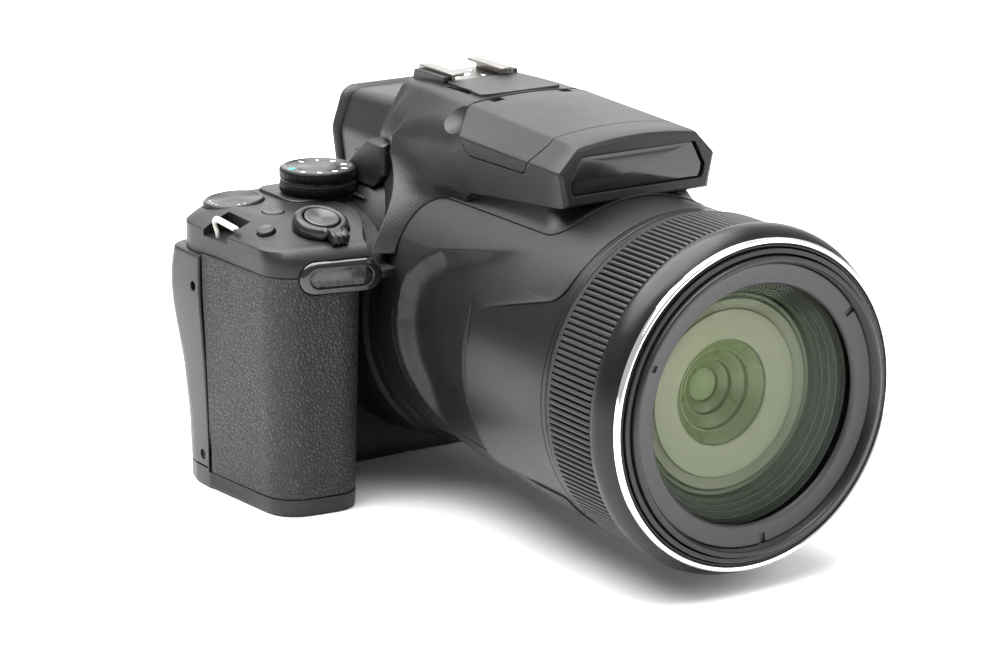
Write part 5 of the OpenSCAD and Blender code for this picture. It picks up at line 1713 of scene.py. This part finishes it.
# Section of the accessory shoe: half width and height over its floor
SHOE = np.array(
    [
        (-10.3, 0), (10.3, 0), (10.3, 3.65), (6.25, 3.65), (6.25, 2.9), (9.3, 2.9), (9.3, 0.8), (-9.3, 0.8),
        (-9.3, 2.9), (-6.25, 2.9), (-6.25, 3.65), (-10.3, 3.65),
    ]
)
# Contacts of the shoe: radius and height of the middle one and of the small ones, then x and depth
MAIN_CONTACT = [(0, 0), (2.2, 0), (2.2, 0.12), (2.0, 0.22), (0, 0.25)]
SMALL_CONTACT = [(0, 0), (0.9, 0), (0.9, 0.1), (0.75, 0.2), (0, 0.22)]
CONTACTS = [
    (MAIN_CONTACT, 0, 142.6), (SMALL_CONTACT, -4.6, 139.2), (SMALL_CONTACT, 4.6, 139.2),
    (SMALL_CONTACT, 4.6, 146.4), (SMALL_CONTACT, -4.6, 146.4),
]
# Paths of the strap bars: y, height and bend radius
NEAR_BAR = [(deep(140.0), 79.8, 0.1), (deep(154.6), 80.7, 1.6), (deep(151.0), 76.6, 2.0), (deep(150.6), 72.0, 0.1)]
FAR_BAR = [(-4.65, 69.2, 0.2), (-4.65, 75.15, 1.9), (7.65, 75.15, 1.9), (7.65, 69.2, 0.2)]


class BRIDGECAM_OT_metalwork(bpy.types.Operator):
    """Bends the strap lugs and folds the accessory shoe"""

    bl_idname = "bridgecam.metalwork"
    bl_label = "Shoe and strap lugs"

    def execute(self, context):
        bars = []
        for x, corners, leg in ((-77.0, NEAR_BAR, 0.6), (62.4, FAR_BAR, 0.9)):
            path = rounded(corners, 8)[4:-4]
            thickness = np.interp(path[:, 1], [78.6, 79.6], [leg, 0.9])
            bars.append(wire(np.concatenate([np.full((len(path), 1), x), path], 1), thickness))
        dress(make("strap_bars", bars, "lug", 50), "strap_lugs")
        ring = SHOE + [0, SHOE_FLOOR]
        section = Patch(elevation(np.stack([ring, ring]), [132.5, 150.7]), caps=True)
        rails = make("shoe_rails", [section], "shoe_steel", 30)
        soften(rails, 0.22)
        dress(rails, "hot_shoe")
        pads = [Patch(stand(spun(profile, 32), (x, deep(d), 114.83))) for profile, x, d in CONTACTS]
        dress(make("shoe_contacts", pads, "chrome", 40), beside="hot_shoe")
        return {"FINISHED"}


def soften(obj, width_mm):
    """Rounds the sharp edges of a piece."""
    bevel = obj.modifiers.new("soft_edges", "BEVEL")
    bevel.width = width_mm * MM
    bevel.segments = 2
    bevel.limit_method = "ANGLE"
    bevel.angle_limit = math.radians(32)


def finder_outline(half, top):
    """Outline of the viewfinder in x and z."""
    rows = [
        (-half + 1.5, 83.15, 3), (half - 1.5, 83.15, 3), (half, 95, 8),
        (half - 4, top, 5), (-half + 4, top, 5), (-half, 95, 8),
    ]
    return outlines(rows, 8, 4)


# Viewfinder and eyecup: depth, half width and top
FINDER = np.array(
    [
        (151.15, 20.5, 107.6), (156, 20.65, 107.4), (162, 20.85, 107.1), (168, 20.9, 106.9), (172, 20.85, 106.7),
        (175, 20.7, 106.45), (177, 20.55, 106.3), (177.7, 20.3, 106.05), (178.0, 19.9, 105.7),
    ]
)
EYECUP = np.array(
    [
        (178.12, 20.0, 105.9), (178.6, 20.6, 106.2), (179.6, 21.5, 106.8), (180.4, 21.7, 107.0),
        (180.9, 21.65, 107.0), (181.2, 21.4, 106.85), (181.3, 20.9, 106.5),
    ]
)
KNOB_PLACE = np.array([-17.5, deep(160), 90.0])
KNOB = [
    (0, 0), (2.7, 0), (2.9, 0.2), (2.9, 7.4), (2.75, 7.75), (2.5, 7.95), (2.2, 8.0), (1.9, 7.9), (0, 7.8),
]


class BRIDGECAM_OT_finder(bpy.types.Operator):
    """Shapes the viewfinder, its eyecup and its diopter knob"""

    bl_idname = "bridgecam.finder"
    bl_label = "Viewfinder"

    def execute(self, context):
        housing = self.shell("finder_skin", FINDER)
        tools = [
            drum(45.3, 149, 154),
            block((-10.1, deep(166), 88.9), (10.1, 40, 102.1)),
            peg(3.2, -0.3, 12, KNOB_PLACE, GRIPWARD),
        ]
        carve(housing, tools, sharp=30)
        coat(housing, "shell")
        dress(housing, "evf_housing")
        cup = self.shell("eyecup_skin", EYECUP)
        carve(cup, [self.eye_hole()], sharp=40)
        coat(cup, "soft_rubber")
        dress(cup, "eyecup")
        dial = Patch(stand(spun(KNOB, 288, knurl(30, 0.2, 2.8)), KNOB_PLACE, GRIPWARD))
        dress(make("diopter_skin", [dial], "satin", 40), "diopter_knob")
        return {"FINISHED"}

    def shell(self, name, stations):
        """Closed solid through stations of depth, half width and top."""
        depth, half, top = stations.T
        return make(name, [Patch(elevation(finder_outline(half, top), depth), caps=True)])

    def eye_hole(self):
        """Flared opening through the eyecup, as a cutting tool."""
        depth = np.array([176.0, 178.2, 180.0, 181.0, 182.5])
        grow = np.array([0.0, 0.0, 0.8, 1.8, 3.4])
        square = [(-1, -1), (1, -1), (1, 1), (-1, 1)]
        rows = [(x * (11 + grow), 95.5 + z * (7.5 + grow), 2.5 + grow) for x, z in square]
        return tool(elevation(outlines(rows, 8), depth))


class BRIDGECAM_OT_kept_nodes(bpy.types.Operator):
    """Finishes the CAD nodes that stay as they are"""

    bl_idname = "bridgecam.kept_nodes"
    bl_label = "Kept pieces"

    special = {"monitor_screen": "screen", "thumb_rest": "rubber"}

    def execute(self, context):
        group = crisp_shading()
        for name, obj in frame["nodes"].items():
            finish_name = self.special.get(name) or SLOT_FINISH[NODE_SLOT[name]]
            coat(obj, finish_name)
            shading = obj.modifiers.new("crisp_shading", "NODES")
            shading.node_group = group
        return {"FINISHED"}


class BRIDGECAM_PT_panel(bpy.types.Panel):
    """Lists the sizes, the finishes and the pieces"""

    bl_idname = "BRIDGECAM_PT_panel"
    bl_label = "Bridge Camera"
    bl_space_type = "VIEW_3D"
    bl_region_type = "UI"
    bl_category = "Bridge Camera"

    def draw(self, context):
        for group in (sizes(), finish()):
            for key in group.__annotations__:
                self.layout.prop(group, key)
        for operator in OPERATORS:
            self.layout.operator(operator.bl_idname)


OPERATORS = (
    BRIDGECAM_OT_stage,
    BRIDGECAM_OT_lens_housing,
    BRIDGECAM_OT_lens_front,
    BRIDGECAM_OT_zoom_barrels,
    BRIDGECAM_OT_glass,
    BRIDGECAM_OT_hump,
    BRIDGECAM_OT_grip,
    BRIDGECAM_OT_side_panel,
    BRIDGECAM_OT_lamp,
    BRIDGECAM_OT_top_cover,
    BRIDGECAM_OT_dials,
    BRIDGECAM_OT_release,
    BRIDGECAM_OT_buttons,
    BRIDGECAM_OT_metalwork,
    BRIDGECAM_OT_finder,
    BRIDGECAM_OT_kept_nodes,
)
CLASSES = (CameraSizes, CameraFinish, *OPERATORS, BRIDGECAM_PT_panel)


def register():
    for cls in CLASSES:
        bpy.utils.register_class(cls)
    bpy.types.Scene.bridge_camera_sizes = bpy.props.PointerProperty(type=CameraSizes)
    bpy.types.Scene.bridge_camera_finish = bpy.props.PointerProperty(type=CameraFinish)


def unregister():
    del bpy.types.Scene.bridge_camera_finish
    del bpy.types.Scene.bridge_camera_sizes
    for cls in reversed(CLASSES):
        bpy.utils.unregister_class(cls)


def main():
    register()
    for operator in OPERATORS:
        module, name = operator.bl_idname.split(".")
        getattr(getattr(bpy.ops, module), name)()


if __name__ == "__main__":
    main()
